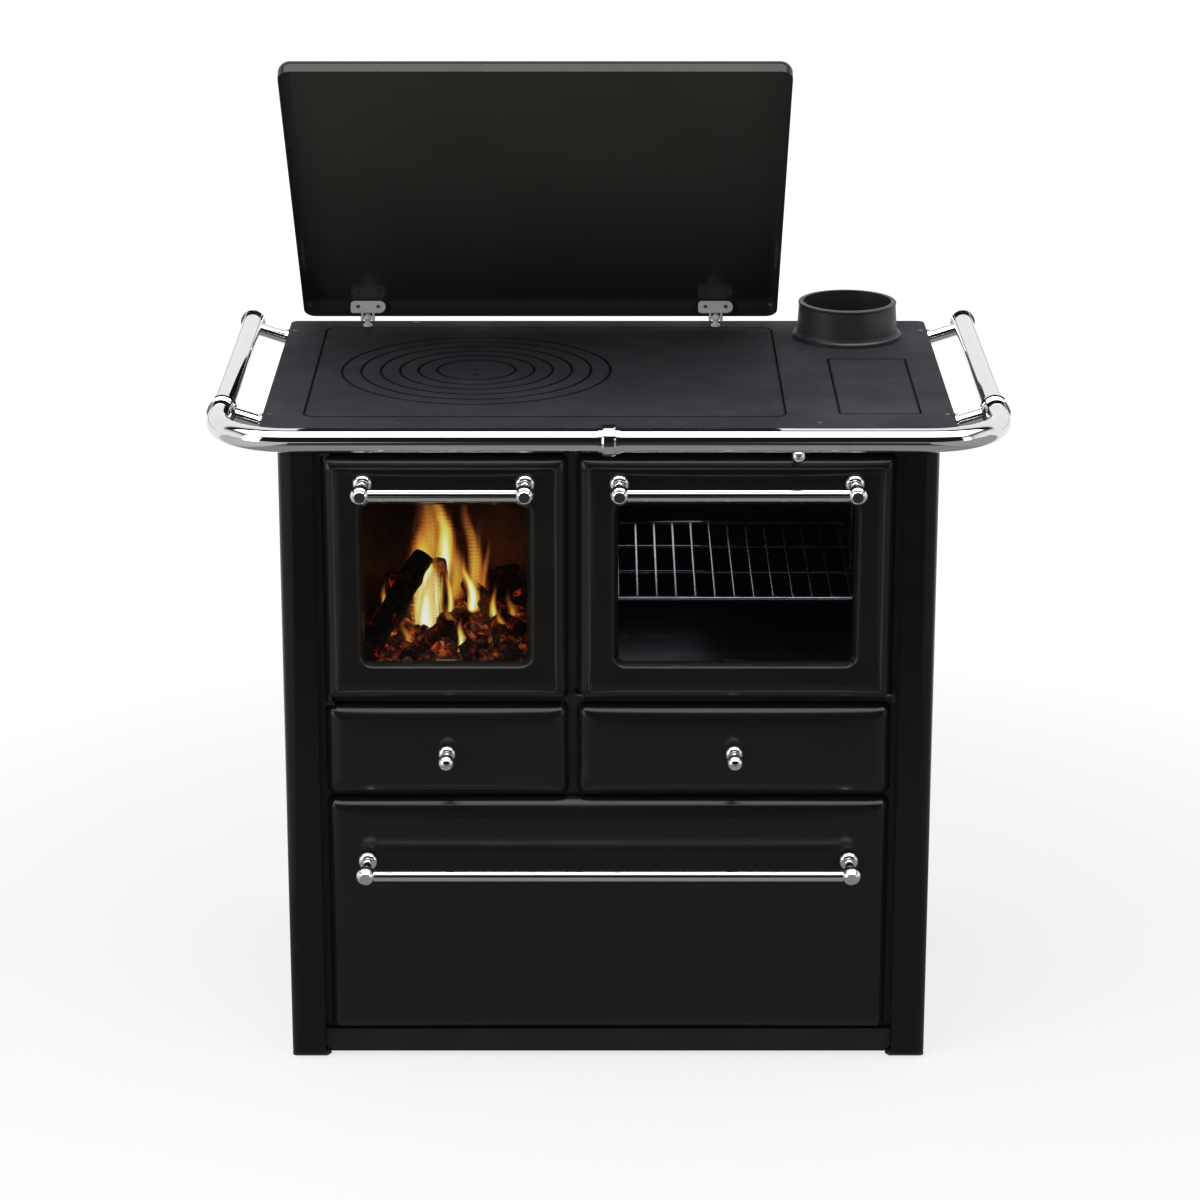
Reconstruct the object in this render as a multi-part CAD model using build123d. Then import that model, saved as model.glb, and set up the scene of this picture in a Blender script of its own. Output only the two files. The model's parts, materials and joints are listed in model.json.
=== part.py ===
from build123d import *
from math import atan2, degrees, sqrt
import os

# Free-standing wood-fired kitchen range with oven, drawers, folding lid and towel rail.
# Millimetres, +Z up, front towards -Y. The origin is on the floor in the middle of the
# outline at rest: doors and drawers shut, lid half open.

# Overall sizes
cooktop_width = 880.0
cooktop_depth = 566.0
cooktop_level = 870.0  # working surface above the floor
rail_reach = 93.0  # front of the rail ahead of the cooktop's front edge
cooktop_overhang = 21.0  # cooktop beyond a side panel
side_return = 45.0  # front of a side panel, beside the doors and drawers

coupling_rise = 5.0  # the rail's middle coupling ahead of its tube
foremost = rail_reach + coupling_rise

cooktop_front = foremost - (foremost + cooktop_depth) / 2
cooktop_back = cooktop_front + cooktop_depth
cooktop_half = cooktop_width / 2
body_half = cooktop_half - cooktop_overhang

# Sheet and clearances
sheet = 2.0  # pressed enamelled steel
slide_gap = 0.3  # drawer on its runner, plate in its recess
fit_gap = 0.05  # pin in its hole, bar in its socket
overcut = 5.0  # how far a cutter runs past the wall it opens

# Cooktop frame, a casting with recesses for the loose plates
cooktop_plate = 12.0
cooktop_rim_drop = 20.0
cooktop_rim_wall = 6.0
cooktop_corner = 10.0
cooktop_edge = 2.0
seat_depth = 8.0  # thickness of the loose plates
seat_width = 9.0
seat_play = 0.1  # room under a loose plate that another part locates
plate_gap = 1.2  # joint seen round each loose plate
plate_chamfer = 0.8
flue_hole = 64.0
cooktop_underside = cooktop_level - cooktop_plate

# Hob plate and its rings
hob_margin = 52.0  # left and front
hob_margin_right = 214.0
hob_margin_back = 41.0
hob_left = -cooktop_half + hob_margin
hob_right = cooktop_half - hob_margin_right
hob_front = cooktop_front + hob_margin
hob_back = cooktop_back - hob_margin_back
hob_corner = 16.0
ring_centre_x = hob_left + 213.5
ring_centre_y = (hob_front + hob_back) / 2 + 2.5
ring_radii = [178.0, 152.5, 127.0, 101.5, 77.0, 52.0]
ring_gap = 0.9
ring_lip = 7.0
ring_lip_depth = 4.0
lifter_hole = 4.0
lifter_slot = (12.0, 6.0, 4.0)  # length, width, depth
lifter_slot_inset = 26.4  # middle of the slot from the rim of the centre lid

# Clean-out plate beside the hob plate
cleanout_width, cleanout_length = 105.0, 284.0
cleanout_right = cooktop_half - 42.0
cleanout_left = cleanout_right - cleanout_width
cleanout_front = cooktop_front + 66.0
cleanout_back = cleanout_front + cleanout_length
cleanout_corner = 3.0

# Flue collar
flue_x = cooktop_half - 113.0
flue_y = cooktop_back - 90.0
flue_bore = 60.0
collar_height = 50.0
collar_top_radius = 66.0
collar_foot_radius = 68.5
collar_flange_radius = 74.0
collar_flange_height = 7.0
collar_step_radius = 71.0
collar_step_height = 10.0
collar_lip = 4.0  # rolled lip round the top

# Fronts: enamelled pans that overlap the front frame
face = cooktop_front + 10.0
pan_depth = 20.0
pan_corner = 15.0
pan_edge = 14.0
frame_gap = 4.0
frame_sheet = 3.0
frame_front = face + pan_depth + frame_gap
frame_back = frame_front + frame_sheet
fronts_half = body_half - side_return - 9.0
split_x = -46.0
split_gap = 11.0
plinth_top = 39.0
door_height = 329.0
doors_top = cooktop_level - 41.0
doors_bottom = doors_top - door_height
small_height = 124.5
small_top = doors_bottom - 5.0
small_bottom = small_top - small_height
wood_top = small_bottom - 3.5
wood_bottom = plinth_top + 2.0
opening_corner = 4.0
fire_span = (-fronts_half, split_x - split_gap / 2)
oven_span = (split_x + split_gap / 2, fronts_half)
wood_span = (-fronts_half, fronts_half)

# Doors
window_side, window_bottom, window_top = 53.0, 54.0, 66.0
window_corner = 10.0
window_bevel = 4.0
collar_depth = 12.0
glass_thickness = 4.0
glass_lap = 9.0
glass_gap = 1.5
inner_inset = 14.5
inner_rim = 3.0
inner_plate = 5.0
inner_corner = 6.0
seal_inset = 19.0
seal_width = 8.0
seal_groove = 3.0
clip_size = (26.0, 16.0, 2.0)
opening_inset = 30.0
hinge_inset = 7.0  # pin from the edge of the door
hinge_depth = 9.5  # pin behind the face
hinge_pin = 3.0
hinge_tongue = 3.0
hinge_tongue_gap = 0.6
hinge_tongue_margin = 2.5  # tongue past its pin
hinge_reach = 9.0
hinge_reach_gap = 1.0

# Bar handles, knobs
bar_radius = 8.5
bar_standoff = 53.0
ball_radius = 13.0
ball_flat = 7.0
post_radius = 6.0
rosette_radius = 13.0
rosette_rim = 1.5
socket_depth = 7.0
handle_inset = 54.0
door_handle_drop = 35.0
wood_bar_radius = 7.5
wood_handle_inset = 52.0
wood_handle_drop = 84.0
knob_radius = 11.0
knob_rosette = 11.7
knob_standoff = 34.0
knob_neck = 5.0
knob_drop = 1.5  # below the middle of the drawer front

# Side panels, back, base
side_setback = 3.0
side_edge = 18.0
side_back_return = 25.0
runner_foot_height = 8.0
runner_foot_width = 51.0
runner_foot_chamfer = 6.0
runner_foot_edge = 5.0
back_setback = 12.0
back_sheet = 2.0
base_top = 34.0
plinth_setback = 14.0
plinth_notch = 8.0
vent_count = 9
vent_size = (34.0, 6.0)
vent_pitch = 52.0
vent_level = 120.0
side_front = face + side_setback
side_back = cooktop_back - back_setback
panel_inside = body_half - sheet
back_inside = side_back - sheet - back_sheet

# Drawers
tray_inset = 19.0
tray_sheet = 1.5
tray_lift = 9.5  # tray floor above the lower edge of its front
small_tray_height = small_height - 28.5
small_tray_depth = 365.0
wood_tray_height = wood_top - wood_bottom - 41.0
wood_tray_depth = 430.0
tray_opening_gap = 3.0
tray_opening_corner = 2.0
ledge_width = 14.0
ledge_sheet = 2.0
runner_side_height = 22.0
runner_gap = 1.0

# Decks
deck_sheet = 2.0
lower_deck_top = small_bottom - 10.5
middle_deck_top = doors_bottom - 2.0

# Firebox
casing_sheet = 3.0
casing_left = fire_span[0] + 3.0
casing_right = fire_span[1] - 3.5
casing_depth = 412.0
casing_back = frame_back + casing_depth
smoke_gap = 46.0  # left free above the oven and the firebox's right wall
smoke_gap_inset = 20.0
brick = 28.0
brick_height = 270.0
brick_chamfer = 4.0
grate_height = 16.0
grate_margin = 12.0
grate_bar = 12.0
grate_slot = 12.0
grate_depth = 300.0

# Oven
oven_depth = 362.0
oven_sheet = 2.0
shelf_level = doors_bottom + 130.0
shelf_inset = 12.0  # from the front and back of the oven
shelf_corner = 12.0
shelf_cross_wire = 2.1
shelf_wire = 1.6
shelf_frame_wire = 2.6
shelf_pitch = 25.0
shelf_side_gap = 9.0
rack_inset = 22.0
rack_post_inset = 32.0
rack_end_gap = 14.0
rack_post = 2.8
rack_wire = 2.0
rack_levels = 4
rack_pitch = 52.0

# Draught damper on its pull rod
damper_x = oven_span[1] - 128.0
damper_level = cooktop_underside - 15.0
damper_rod = 4.0
damper_ball = 9.0
damper_neck = (5.5, 4.0)  # radius, length behind the ball
damper_ball_y = cooktop_front - 34.0
damper_hole = (94.0, 34.0)
damper_lap = 5.0
baffle_sheet = 3.0

# Towel rail
rail_tube = 15.0
rail_side_tube = 14.0
rail_wall = 1.5
rail_x = cooktop_half + 51.0
rail_level = cooktop_level + 5.0
rail_bend = 95.0
rail_y = cooktop_front - rail_reach + rail_tube
rail_joint_y = cooktop_front + 65.0
rail_rear_arm_y = cooktop_back - 56.0
rail_end_y = cooktop_back - 31.0
joint_collar_radius = 18.5
joint_collar_length = 26.0
joint_ring_length = 5.0
coupling_radius = rail_tube + coupling_rise
coupling_length = 17.0
coupling_shoulder = 2.0
coupling_ring_radius = 16.5
coupling_ring_length = 5.0
arm_radius = 9.0
arm_drop = 15.0  # start of the arm's axis below the cooktop surface
arm_embed = 10.0  # and inside the cooktop's side face
arm_rosette = (13.0, 4.0)
cap_radius = 17.0
cap_length = 9.0
cap_rim = 3.5

# Folding lid
lid_left = -cooktop_half + 20.0
lid_right = hob_right + 8.0
lid_front = cooktop_front - 8.5
lid_sheet = 1.5
lid_flange = 24.0
lid_corner = 16.0
lid_edge = 14.0
lid_open = 48.0  # degrees from shut, at rest
hinge_y = cooktop_back - 34.0
hinge_level = cooktop_level + 12.0
lid_rim_lift = 7.0  # rim above the hinge pin when shut
lid_boss = 5.0  # flat boss in the rear flange that carries a hinge plate
lid_boss_margin = 2.0
lid_hinge_x = [lid_left + 88.0, lid_right - 85.0]
lid_plate = (48.0, 19.0, 2.5)  # width, height, thickness
lid_plate_lift = 0.5  # above the rim of the lid
lid_plate_corners = (5.0, 9.0)  # left and right
lid_screw_spread = 14.0
lid_screw_hole = 2.0
lid_pin_radius = 2.5
lid_pin_half = 10.0
lid_knuckle_radius = 4.5
lid_knuckle_span = (6.2, 9.2)
lid_post_ball = 5.5
lid_post_bulge = 6.5
lid_post_waist = 3.6


def block(x0, x1, y0, y1, z0, z1):
    return Pos((x0 + x1) / 2, (y0 + y1) / 2, (z0 + z1) / 2) * Box(x1 - x0, y1 - y0, z1 - z0)


def standing(x0, x1, z0, z1, y0, y1, radius, taper=0.0):
    # A rounded rectangle seen from the front, carried back from y0 to y1.
    plane = Plane(origin=((x0 + x1) / 2, y0, (z0 + z1) / 2), x_dir=(1, 0, 0), z_dir=(0, 1, 0))
    return extrude(plane * RectangleRounded(x1 - x0, z1 - z0, radius), y1 - y0, taper=taper)


def lying(x0, x1, y0, y1, z0, z1, radius):
    # A rounded rectangle seen from above, carried up from z0 to z1.
    outline = RectangleRounded(x1 - x0, y1 - y0, radius)
    return extrude(Pos((x0 + x1) / 2, (y0 + y1) / 2, z0) * outline, z1 - z0)


def rod(start, end, radius):
    start, end = Vector(*start), Vector(*end)
    return extrude(Plane(origin=start, z_dir=end - start) * Circle(radius), (end - start).length)


def turned(outline, at, towards):
    # A lathe outline of (radius, height) points, stood at a place and turned towards a direction.
    # An entry that is a pair of points is an arc: through the first one to the second.
    edges, start = [], outline[0]
    for step in [*outline[1:], outline[0]]:
        if isinstance(step[0], tuple):
            edges.append(ThreePointArc(start, *step))
            start = step[1]
        else:
            edges.append(Line(start, step))
            start = step
    shape = revolve(Plane.XZ * make_face(edges), Axis.Z)
    return Plane(origin=at, z_dir=towards).location * shape


def cove(start, end):
    # The arc entry for a quarter circle that bulges outwards from one radius to a smaller one.
    bulge = (start[0] - end[0]) * (1 - sqrt(0.5))
    return (start[0] - bulge, end[1] - bulge), end


def front_edges(shape):
    return shape.faces().sort_by(Axis.Y)[0].edges()


def top_edges(shape):
    return shape.faces().sort_by(Axis.Z)[-1].edges()


def save(name, *solids):
    shape = solids[0] if len(solids) == 1 else Compound(children=list(solids))
    export_step(shape, f"parts/{name}.step")


# ---- cooktop ----


def recess(x0, x1, y0, y1, corner):
    # Cutter for a loose plate's recess: the full outline down to the seat, then a smaller hole.
    seat = lying(x0, x1, y0, y1, cooktop_level - seat_depth, cooktop_level + overcut, corner)
    inner = max(corner - seat_width, 1.0)
    hole = lying(
        x0 + seat_width,
        x1 - seat_width,
        y0 + seat_width,
        y1 - seat_width,
        cooktop_underside - overcut,
        cooktop_level,
        inner,
    )
    return seat + hole


def cooktop_frame():
    plate = lying(
        -cooktop_half,
        cooktop_half,
        cooktop_front,
        cooktop_back,
        cooktop_level - cooktop_rim_drop,
        cooktop_level,
        cooktop_corner,
    )
    plate = fillet(top_edges(plate), cooktop_edge)
    wall = cooktop_rim_wall
    plate -= lying(
        -cooktop_half + wall,
        cooktop_half - wall,
        cooktop_front + wall,
        cooktop_back - wall,
        cooktop_level - cooktop_rim_drop - overcut,
        cooktop_underside,
        cooktop_corner - wall,
    )
    plate -= recess(hob_left, hob_right, hob_front, hob_back, hob_corner)
    plate -= recess(cleanout_left, cleanout_right, cleanout_front, cleanout_back, cleanout_corner)
    plate -= rod(
        (flue_x, flue_y, cooktop_underside - overcut),
        (flue_x, flue_y, cooktop_level + overcut),
        flue_hole,
    )
    for x in lid_hinge_x:
        plate -= rod(
            (x, hinge_y, cooktop_underside - overcut),
            (x, hinge_y, cooktop_level + overcut),
            lid_post_waist + fit_gap,
        )
    return plate


def hob_plate():
    bottom = cooktop_level - seat_depth
    g = plate_gap
    plate = lying(
        hob_left + g, hob_right - g, hob_front + g, hob_back - g, bottom, cooktop_level, hob_corner - g
    )
    plate = chamfer(top_edges(plate), plate_chamfer)
    return plate - ring_seat(ring_radii[0])


def ring_seat(radius):
    # Stepped hole that the next ring drops into: a wide mouth with a broken edge, then a throat.
    points = [
        (0, -seat_depth - overcut),
        (radius - ring_lip, -seat_depth - overcut),
        (radius - ring_lip, -ring_lip_depth),
        (radius, -ring_lip_depth),
        (radius, -plate_chamfer),
        (radius + plate_chamfer, 0),
        (radius + plate_chamfer, overcut),
        (0, overcut),
    ]
    return turned(points, (ring_centre_x, ring_centre_y, cooktop_level), (0, 0, 1))


def ring_blank(radius):
    # A disc whose thin lip rests on the step of the ring outside it.
    g = ring_gap
    points = [
        (0, 0),
        (radius - g - plate_chamfer, 0),
        (radius - g, -plate_chamfer),
        (radius - g, -ring_lip_depth + seat_play),
        (radius - ring_lip - g, -ring_lip_depth + seat_play),
        (radius - ring_lip - g, -seat_depth),
        (0, -seat_depth),
    ]
    return turned(points, (ring_centre_x, ring_centre_y, cooktop_level), (0, 0, 1))


def hob_rings():
    rings = []
    for outer, inner in zip(ring_radii, ring_radii[1:]):
        rings.append(ring_blank(outer) - ring_seat(inner))
    lid = ring_blank(ring_radii[-1])
    length, width, depth = lifter_slot
    slot_y = ring_centre_y - ring_radii[-1] + lifter_slot_inset
    slot = Pos(ring_centre_x, slot_y, cooktop_level - depth) * extrude(
        SlotOverall(length, width), depth + overcut
    )
    hole = rod(
        (ring_centre_x, ring_centre_y, cooktop_level - seat_depth / 2),
        (ring_centre_x, ring_centre_y, cooktop_level + overcut),
        lifter_hole,
    )
    rings.append(lid - slot - hole)
    return rings


def cleanout_plate():
    g = plate_gap
    plate = lying(
        cleanout_left + g,
        cleanout_right - g,
        cleanout_front + g,
        cleanout_back - g,
        cooktop_level - seat_depth + seat_play,
        cooktop_level,
        cleanout_corner - g,
    )
    return chamfer(top_edges(plate), plate_chamfer)


def flue_collar():
    points = [
        (flue_bore, 0),
        (collar_flange_radius, 0),
        (collar_flange_radius, collar_flange_height - 2),
        (collar_flange_radius - 2, collar_flange_height),
        (collar_step_radius, collar_flange_height),
        (collar_step_radius - 1, collar_step_height),
        (collar_foot_radius, collar_step_height),
        (collar_top_radius, collar_height - collar_lip),
        ((collar_top_radius + 1, collar_height - collar_lip / 2), (collar_top_radius - 1, collar_height)),
        (flue_bore, collar_height),
    ]
    return turned(points, (flue_x, flue_y, cooktop_level), (0, 0, 1))


# ---- body ----


def side_panel(sign):
    # A folded sheet: front return, rounded outer edge, side wall, back return.
    inner_x, outer_x = body_half - side_return, body_half
    outer = block(inner_x, outer_x, side_front, side_back, runner_foot_height, cooktop_underside)
    edge = outer.edges().filter_by(Axis.Z).sort_by(Axis.Y)[:2].sort_by(Axis.X)[-1]
    outer = fillet(edge, side_edge)
    cavity = block(
        inner_x - overcut,
        outer_x - sheet,
        side_front + sheet,
        side_back - sheet,
        runner_foot_height - overcut,
        cooktop_underside + overcut,
    )
    edge = cavity.edges().filter_by(Axis.Z).sort_by(Axis.Y)[:2].sort_by(Axis.X)[-1]
    cavity = fillet(edge, side_edge - sheet)
    behind_front = block(
        inner_x - overcut,
        outer_x - side_back_return,
        side_front + sheet,
        side_back + overcut,
        runner_foot_height - overcut,
        cooktop_underside + overcut,
    )
    panel = outer - cavity - behind_front
    return panel if sign > 0 else mirror(panel, about=Plane.YZ)


def foot_runner(sign):
    x1 = body_half - 1.0
    x0 = x1 - runner_foot_width
    bar = block(x0, x1, side_front + 5.0, side_back - 5.0, 0, runner_foot_height)
    ends = bar.edges().filter_by(Axis.X).group_by(Axis.Z)[0]
    bar = chamfer(ends, runner_foot_chamfer)
    inner, *_, outer = bar.edges().filter_by(Axis.Y).group_by(Axis.Z)[0].sort_by(Axis.X)
    bar = chamfer(inner, runner_foot_chamfer)
    outer = bar.edges().filter_by(Axis.Y).group_by(Axis.Z)[0].sort_by(Axis.X)[-1]
    bar = fillet(outer, runner_foot_edge)
    return bar if sign > 0 else mirror(bar, about=Plane.YZ)


def back_panel():
    panel = block(
        -panel_inside,
        panel_inside,
        back_inside,
        back_inside + back_sheet,
        runner_foot_height,
        cooktop_underside,
    )
    width, height = vent_size
    for i in range(vent_count):
        x = (i - (vent_count - 1) / 2) * vent_pitch
        panel -= standing(
            x - width / 2,
            x + width / 2,
            vent_level,
            vent_level + height,
            back_inside - overcut,
            back_inside + back_sheet + overcut,
            height / 2 - 0.1,
        )
    return panel


def base_frame():
    plinth_y = face + plinth_setback
    pan = block(-panel_inside, panel_inside, frame_back, back_inside, base_top - sheet, base_top)
    inner_x = body_half - side_return
    plinth = block(-inner_x, inner_x, plinth_y, plinth_y + sheet, runner_foot_height - 1.0, plinth_top)
    plinth = chamfer(plinth.edges().filter_by(Axis.Y).group_by(Axis.Z)[0], plinth_notch)
    shelf = block(-inner_x, inner_x, plinth_y, frame_back, base_top - sheet, base_top)
    frame = pan + plinth + shelf
    for sign in (-1, 1):
        x = sign * (panel_inside - runner_foot_width / 2)
        frame += block(
            x - sheet / 2, x + sheet / 2, frame_back, back_inside, runner_foot_height, base_top - sheet
        )
    return frame


def tray_box(span, bottom, height):
    # Width and height of a drawer's tray behind its front.
    return span[0] + tray_inset, span[1] - tray_inset, bottom + tray_lift, bottom + tray_lift + height


def front_frame():
    plate = block(-panel_inside, panel_inside, frame_front, frame_back, base_top, cooktop_underside)
    for span in (fire_span, oven_span):
        plate -= standing(*door_opening(span), frame_front - overcut, frame_back + overcut, opening_corner)
    trays = [
        (fire_span, small_bottom, small_tray_height),
        (oven_span, small_bottom, small_tray_height),
        (wood_span, wood_bottom, wood_tray_height),
    ]
    g = tray_opening_gap
    for span, bottom, height in trays:
        x0, x1, z0, z1 = tray_box(span, bottom, height)
        plate -= standing(
            *grown((x0, x1, z0, z1), g), frame_front - overcut, frame_back + overcut, tray_opening_corner
        )
    plate -= rod(
        (damper_x, frame_front - overcut, damper_level),
        (damper_x, frame_back + overcut, damper_level),
        damper_rod + fit_gap,
    )
    return plate


def door_opening(span):
    i = opening_inset
    return span[0] + i, span[1] - i, doors_bottom + i, doors_top - i


def decks():
    lower = block(
        -panel_inside, panel_inside, frame_back, back_inside, lower_deck_top - deck_sheet, lower_deck_top
    )
    middle = block(
        -panel_inside, panel_inside, frame_back, back_inside, middle_deck_top - deck_sheet, middle_deck_top
    )
    x0, x1, y0, y1 = grate_place()
    m = grate_margin
    middle -= block(
        x0 + m, x1 - m, y0 + m, y1 - m, middle_deck_top - deck_sheet - overcut, middle_deck_top + overcut
    )
    # The divider between the small drawers is welded on the lower deck.
    lower += block(
        split_x - deck_sheet / 2,
        split_x + deck_sheet / 2,
        frame_back,
        back_inside,
        lower_deck_top,
        middle_deck_top - deck_sheet,
    )
    return lower, middle


def runner_pair(span, bottom, height, carried_by, depth):
    # Two angle runners: an upright beside the tray, standing on a deck, with a ledge under the tray.
    x0, x1, z0, _ = tray_box(span, bottom, height)
    rails = []
    for x, side in ((x0, -1), (x1, 1)):
        outer = x + side * (runner_gap + ledge_sheet)
        inner = x + side * runner_gap
        upright = block(
            min(outer, inner), max(outer, inner), frame_back, frame_back + depth, carried_by,
            z0 + runner_side_height,
        )
        tip = x - side * ledge_width
        ledge = block(
            min(outer, tip), max(outer, tip), frame_back, frame_back + depth,
            z0 - slide_gap - ledge_sheet, z0 - slide_gap,
        )
        rails.append(upright + ledge)
    return rails


# ---- fronts, doors and drawers ----


def front_pan(x0, x1, z0, z1):
    outer = standing(x0, x1, z0, z1, face, face + pan_depth, pan_corner)
    outer = fillet(front_edges(outer), pan_edge)
    s = sheet
    inner = standing(
        x0 + s, x1 - s, z0 + s, z1 - s, face + s, face + pan_depth + overcut, pan_corner - s
    )
    inner = fillet(front_edges(inner), pan_edge - s)
    return outer - inner


def window_of(span):
    return (
        span[0] + window_side,
        span[1] - window_side,
        doors_bottom + window_bottom,
        doors_top - window_top,
    )


def grown(rect, by):
    x0, x1, z0, z1 = rect
    return x0 - by, x1 + by, z0 - by, z1 + by


def door_front(span):
    # The pan, with a sloping collar pressed inwards round the window.
    pan = front_pan(*span, doors_bottom, doors_top)
    slope = degrees(atan2(window_bevel, collar_depth))
    mouth = grown(window_of(span), window_bevel)
    back = face + collar_depth
    cutter = standing(*mouth, face, back, window_corner + window_bevel, slope)
    collar = standing(
        *grown(mouth, sheet), face, back, window_corner + window_bevel + sheet, slope
    )
    return pan - cutter + (collar - cutter)


def door_inner(span):
    # A flat plate round the glass with a rim that stands against the back of the front.
    rect = grown((*span, doors_bottom, doors_top), -inner_inset)
    back = face + pan_depth
    shape = standing(*rect, face + sheet, back, inner_corner)
    shape -= standing(
        *grown(rect, -inner_rim), face + sheet - overcut, back - inner_plate, inner_corner - inner_rim
    )
    shape -= standing(
        *grown(window_of(span), glass_lap + glass_gap), face, back + overcut, window_corner
    )
    return shape - seal_ring(span, back - seal_groove, back + overcut, 0.0)


def seal_ring(span, y0, y1, gap):
    rect = grown((*span, doors_bottom, doors_top), -seal_inset)
    outer = standing(*grown(rect, -gap), y0, y1, inner_corner)
    inner = grown(rect, gap - seal_width)
    return outer - standing(*inner, y0 - overcut, y1 + overcut, inner_corner / 2)


def door_seal(span):
    ring = seal_ring(span, face + pan_depth - seal_groove, frame_front - slide_gap, slide_gap)
    return fillet(ring.faces().sort_by(Axis.Y)[-1].edges(), 2.0)


def door_glass(span):
    y0 = face + collar_depth + slide_gap
    return standing(*grown(window_of(span), glass_lap), y0, y0 + glass_thickness, window_corner - 2)


def glass_clips(span):
    # Small plates on the inner plate, each with a foot that reaches forward to the glass.
    width, reach, thick = clip_size
    x0, x1, z0, z1 = grown(window_of(span), glass_lap)
    back = face + pan_depth
    glass_back = face + collar_depth + slide_gap + glass_thickness
    middle_x, middle_z = (x0 + x1) / 2, (z0 + z1) / 2
    half, lap = width / 2, reach / 2
    foot = lap - glass_gap
    clips = []
    for x, side in ((x0, -1), (x1, 1)):
        xs = sorted((x - side * lap, x + side * lap))
        feet = sorted((x - side * lap, x - side * (lap - foot)))
        plate = block(*xs, back, back + thick, middle_z - half, middle_z + half)
        clips.append(plate + block(*feet, glass_back, back, middle_z - half, middle_z + half))
    for z, side in ((z0, -1), (z1, 1)):
        zs = sorted((z - side * lap, z + side * lap))
        feet = sorted((z - side * lap, z - side * (lap - foot)))
        plate = block(middle_x - half, middle_x + half, back, back + thick, *zs)
        clips.append(plate + block(middle_x - half, middle_x + half, glass_back, back, *feet))
    return clips


def handle(x0, x1, z, radius):
    # A bar between two turned mounts. Each mount is a domed rosette, a post and a ball cut flat.
    y = face - bar_standoff
    rosette_top = rosette_rim + rosette_radius - post_radius
    ball_start = bar_standoff - sqrt(ball_radius**2 - post_radius**2)
    ball_end = bar_standoff + sqrt(ball_radius**2 - ball_flat**2)
    outline = [
        (0, 0),
        (rosette_radius, 0),
        (rosette_radius, rosette_rim),
        cove((rosette_radius, rosette_rim), (post_radius, rosette_top)),
        (post_radius, ball_start),
        ((ball_radius, bar_standoff), (ball_flat, ball_end)),
        (0, ball_end),
    ]
    mounts = []
    for x, side in ((x0, 1), (x1, -1)):
        socket = rod((x + side * socket_depth, y, z), (x + side * 2 * ball_radius, y, z), radius + fit_gap)
        mounts.append(turned(outline, (x, face, z), (0, -1, 0)) - socket)
    bar = rod((x0 + socket_depth, y, z), (x1 - socket_depth, y, z), radius)
    return bar, mounts


def knob(x, z):
    rosette_top = rosette_rim + knob_rosette - knob_neck
    outline = [
        (0, 0),
        (knob_rosette, 0),
        (knob_rosette, rosette_rim),
        cove((knob_rosette, rosette_rim), (knob_neck, rosette_top)),
        (knob_neck, knob_standoff - sqrt(knob_radius**2 - knob_neck**2)),
        ((knob_radius, knob_standoff), (0, knob_standoff + knob_radius)),
    ]
    return turned(outline, (x, face, z), (0, -1, 0))


def tray(span, bottom, top, height, depth):
    # An open tray, with a plate at its front that sits inside the rim of the enamelled pan.
    x0, x1, z0, z1 = tray_box(span, bottom, height)
    y0 = face + pan_depth
    t = tray_sheet
    box = block(x0, x1, y0, y0 + depth, z0, z1)
    box -= block(x0 + t, x1 - t, y0, y0 + depth - t, z0 + t, z1 + overcut)
    plate = standing(
        *grown((*span, bottom, top), -sheet - slide_gap), y0 - sheet, y0, pan_corner - sheet
    )
    return box + plate


def door(name, span, pin_cutters):
    front, inner = door_front(span), door_inner(span)
    for cutter in pin_cutters:
        front -= cutter
    z = doors_top - door_handle_drop
    bar, mounts = handle(span[0] + handle_inset, span[1] - handle_inset, z, bar_radius)
    save(f"{name}_front", front)
    save(f"{name}_inner_frame", inner)
    save(f"{name}_glass", door_glass(span))
    save(f"{name}_glass_clips", *glass_clips(span))
    save(f"{name}_seal", door_seal(span))
    save(f"{name}_handle_bar", bar)
    save(f"{name}_handle_mounts", *mounts)


def pin_bracket(pin_start, pin_end, plate):
    return plate + rod(pin_start, pin_end, hinge_pin)


def fire_door_hinges():
    # Tongues above and below the left edge of the door, each with an upright pin.
    x, y = fire_span[0] + hinge_inset, face + hinge_depth
    w = hinge_pin + hinge_tongue_margin
    brackets, cutters = [], []
    for z, inwards in ((doors_bottom, 1), (doors_top, -1)):
        near = z - inwards * hinge_tongue_gap
        far = near - inwards * hinge_tongue
        tongue = block(x - w, x + w, y - w, frame_front, *sorted((near, far)))
        brackets.append(pin_bracket((x, y, far), (x, y, z + inwards * hinge_reach), tongue))
        inside = z + inwards * (hinge_reach + hinge_reach_gap)
        cutters.append(rod((x, y, far), (x, y, inside), hinge_pin + fit_gap))
    return brackets, cutters


def oven_door_hinges():
    # Tongues beside the lower corners of the door, each with a level pin.
    y, z = face + hinge_depth, doors_bottom + hinge_inset
    w = hinge_pin + hinge_tongue_margin
    brackets, cutters = [], []
    for x, inwards in ((oven_span[0], 1), (oven_span[1], -1)):
        near = x - inwards * hinge_tongue_gap
        far = near - inwards * hinge_tongue
        tongue = block(*sorted((near, far)), y - w, frame_front, z - w, z + w)
        brackets.append(pin_bracket((far, y, z), (x + inwards * hinge_reach, y, z), tongue))
        inside = x + inwards * (hinge_reach + hinge_reach_gap)
        cutters.append(rod((far, y, z), (inside, y, z), hinge_pin + fit_gap))
    return brackets, cutters


# ---- firebox and oven ----


def grate_place():
    x0 = casing_left + casing_sheet + brick
    x1 = casing_right - casing_sheet - brick
    y0 = frame_back + casing_sheet
    return x0, x1, y0, y0 + grate_depth


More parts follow.
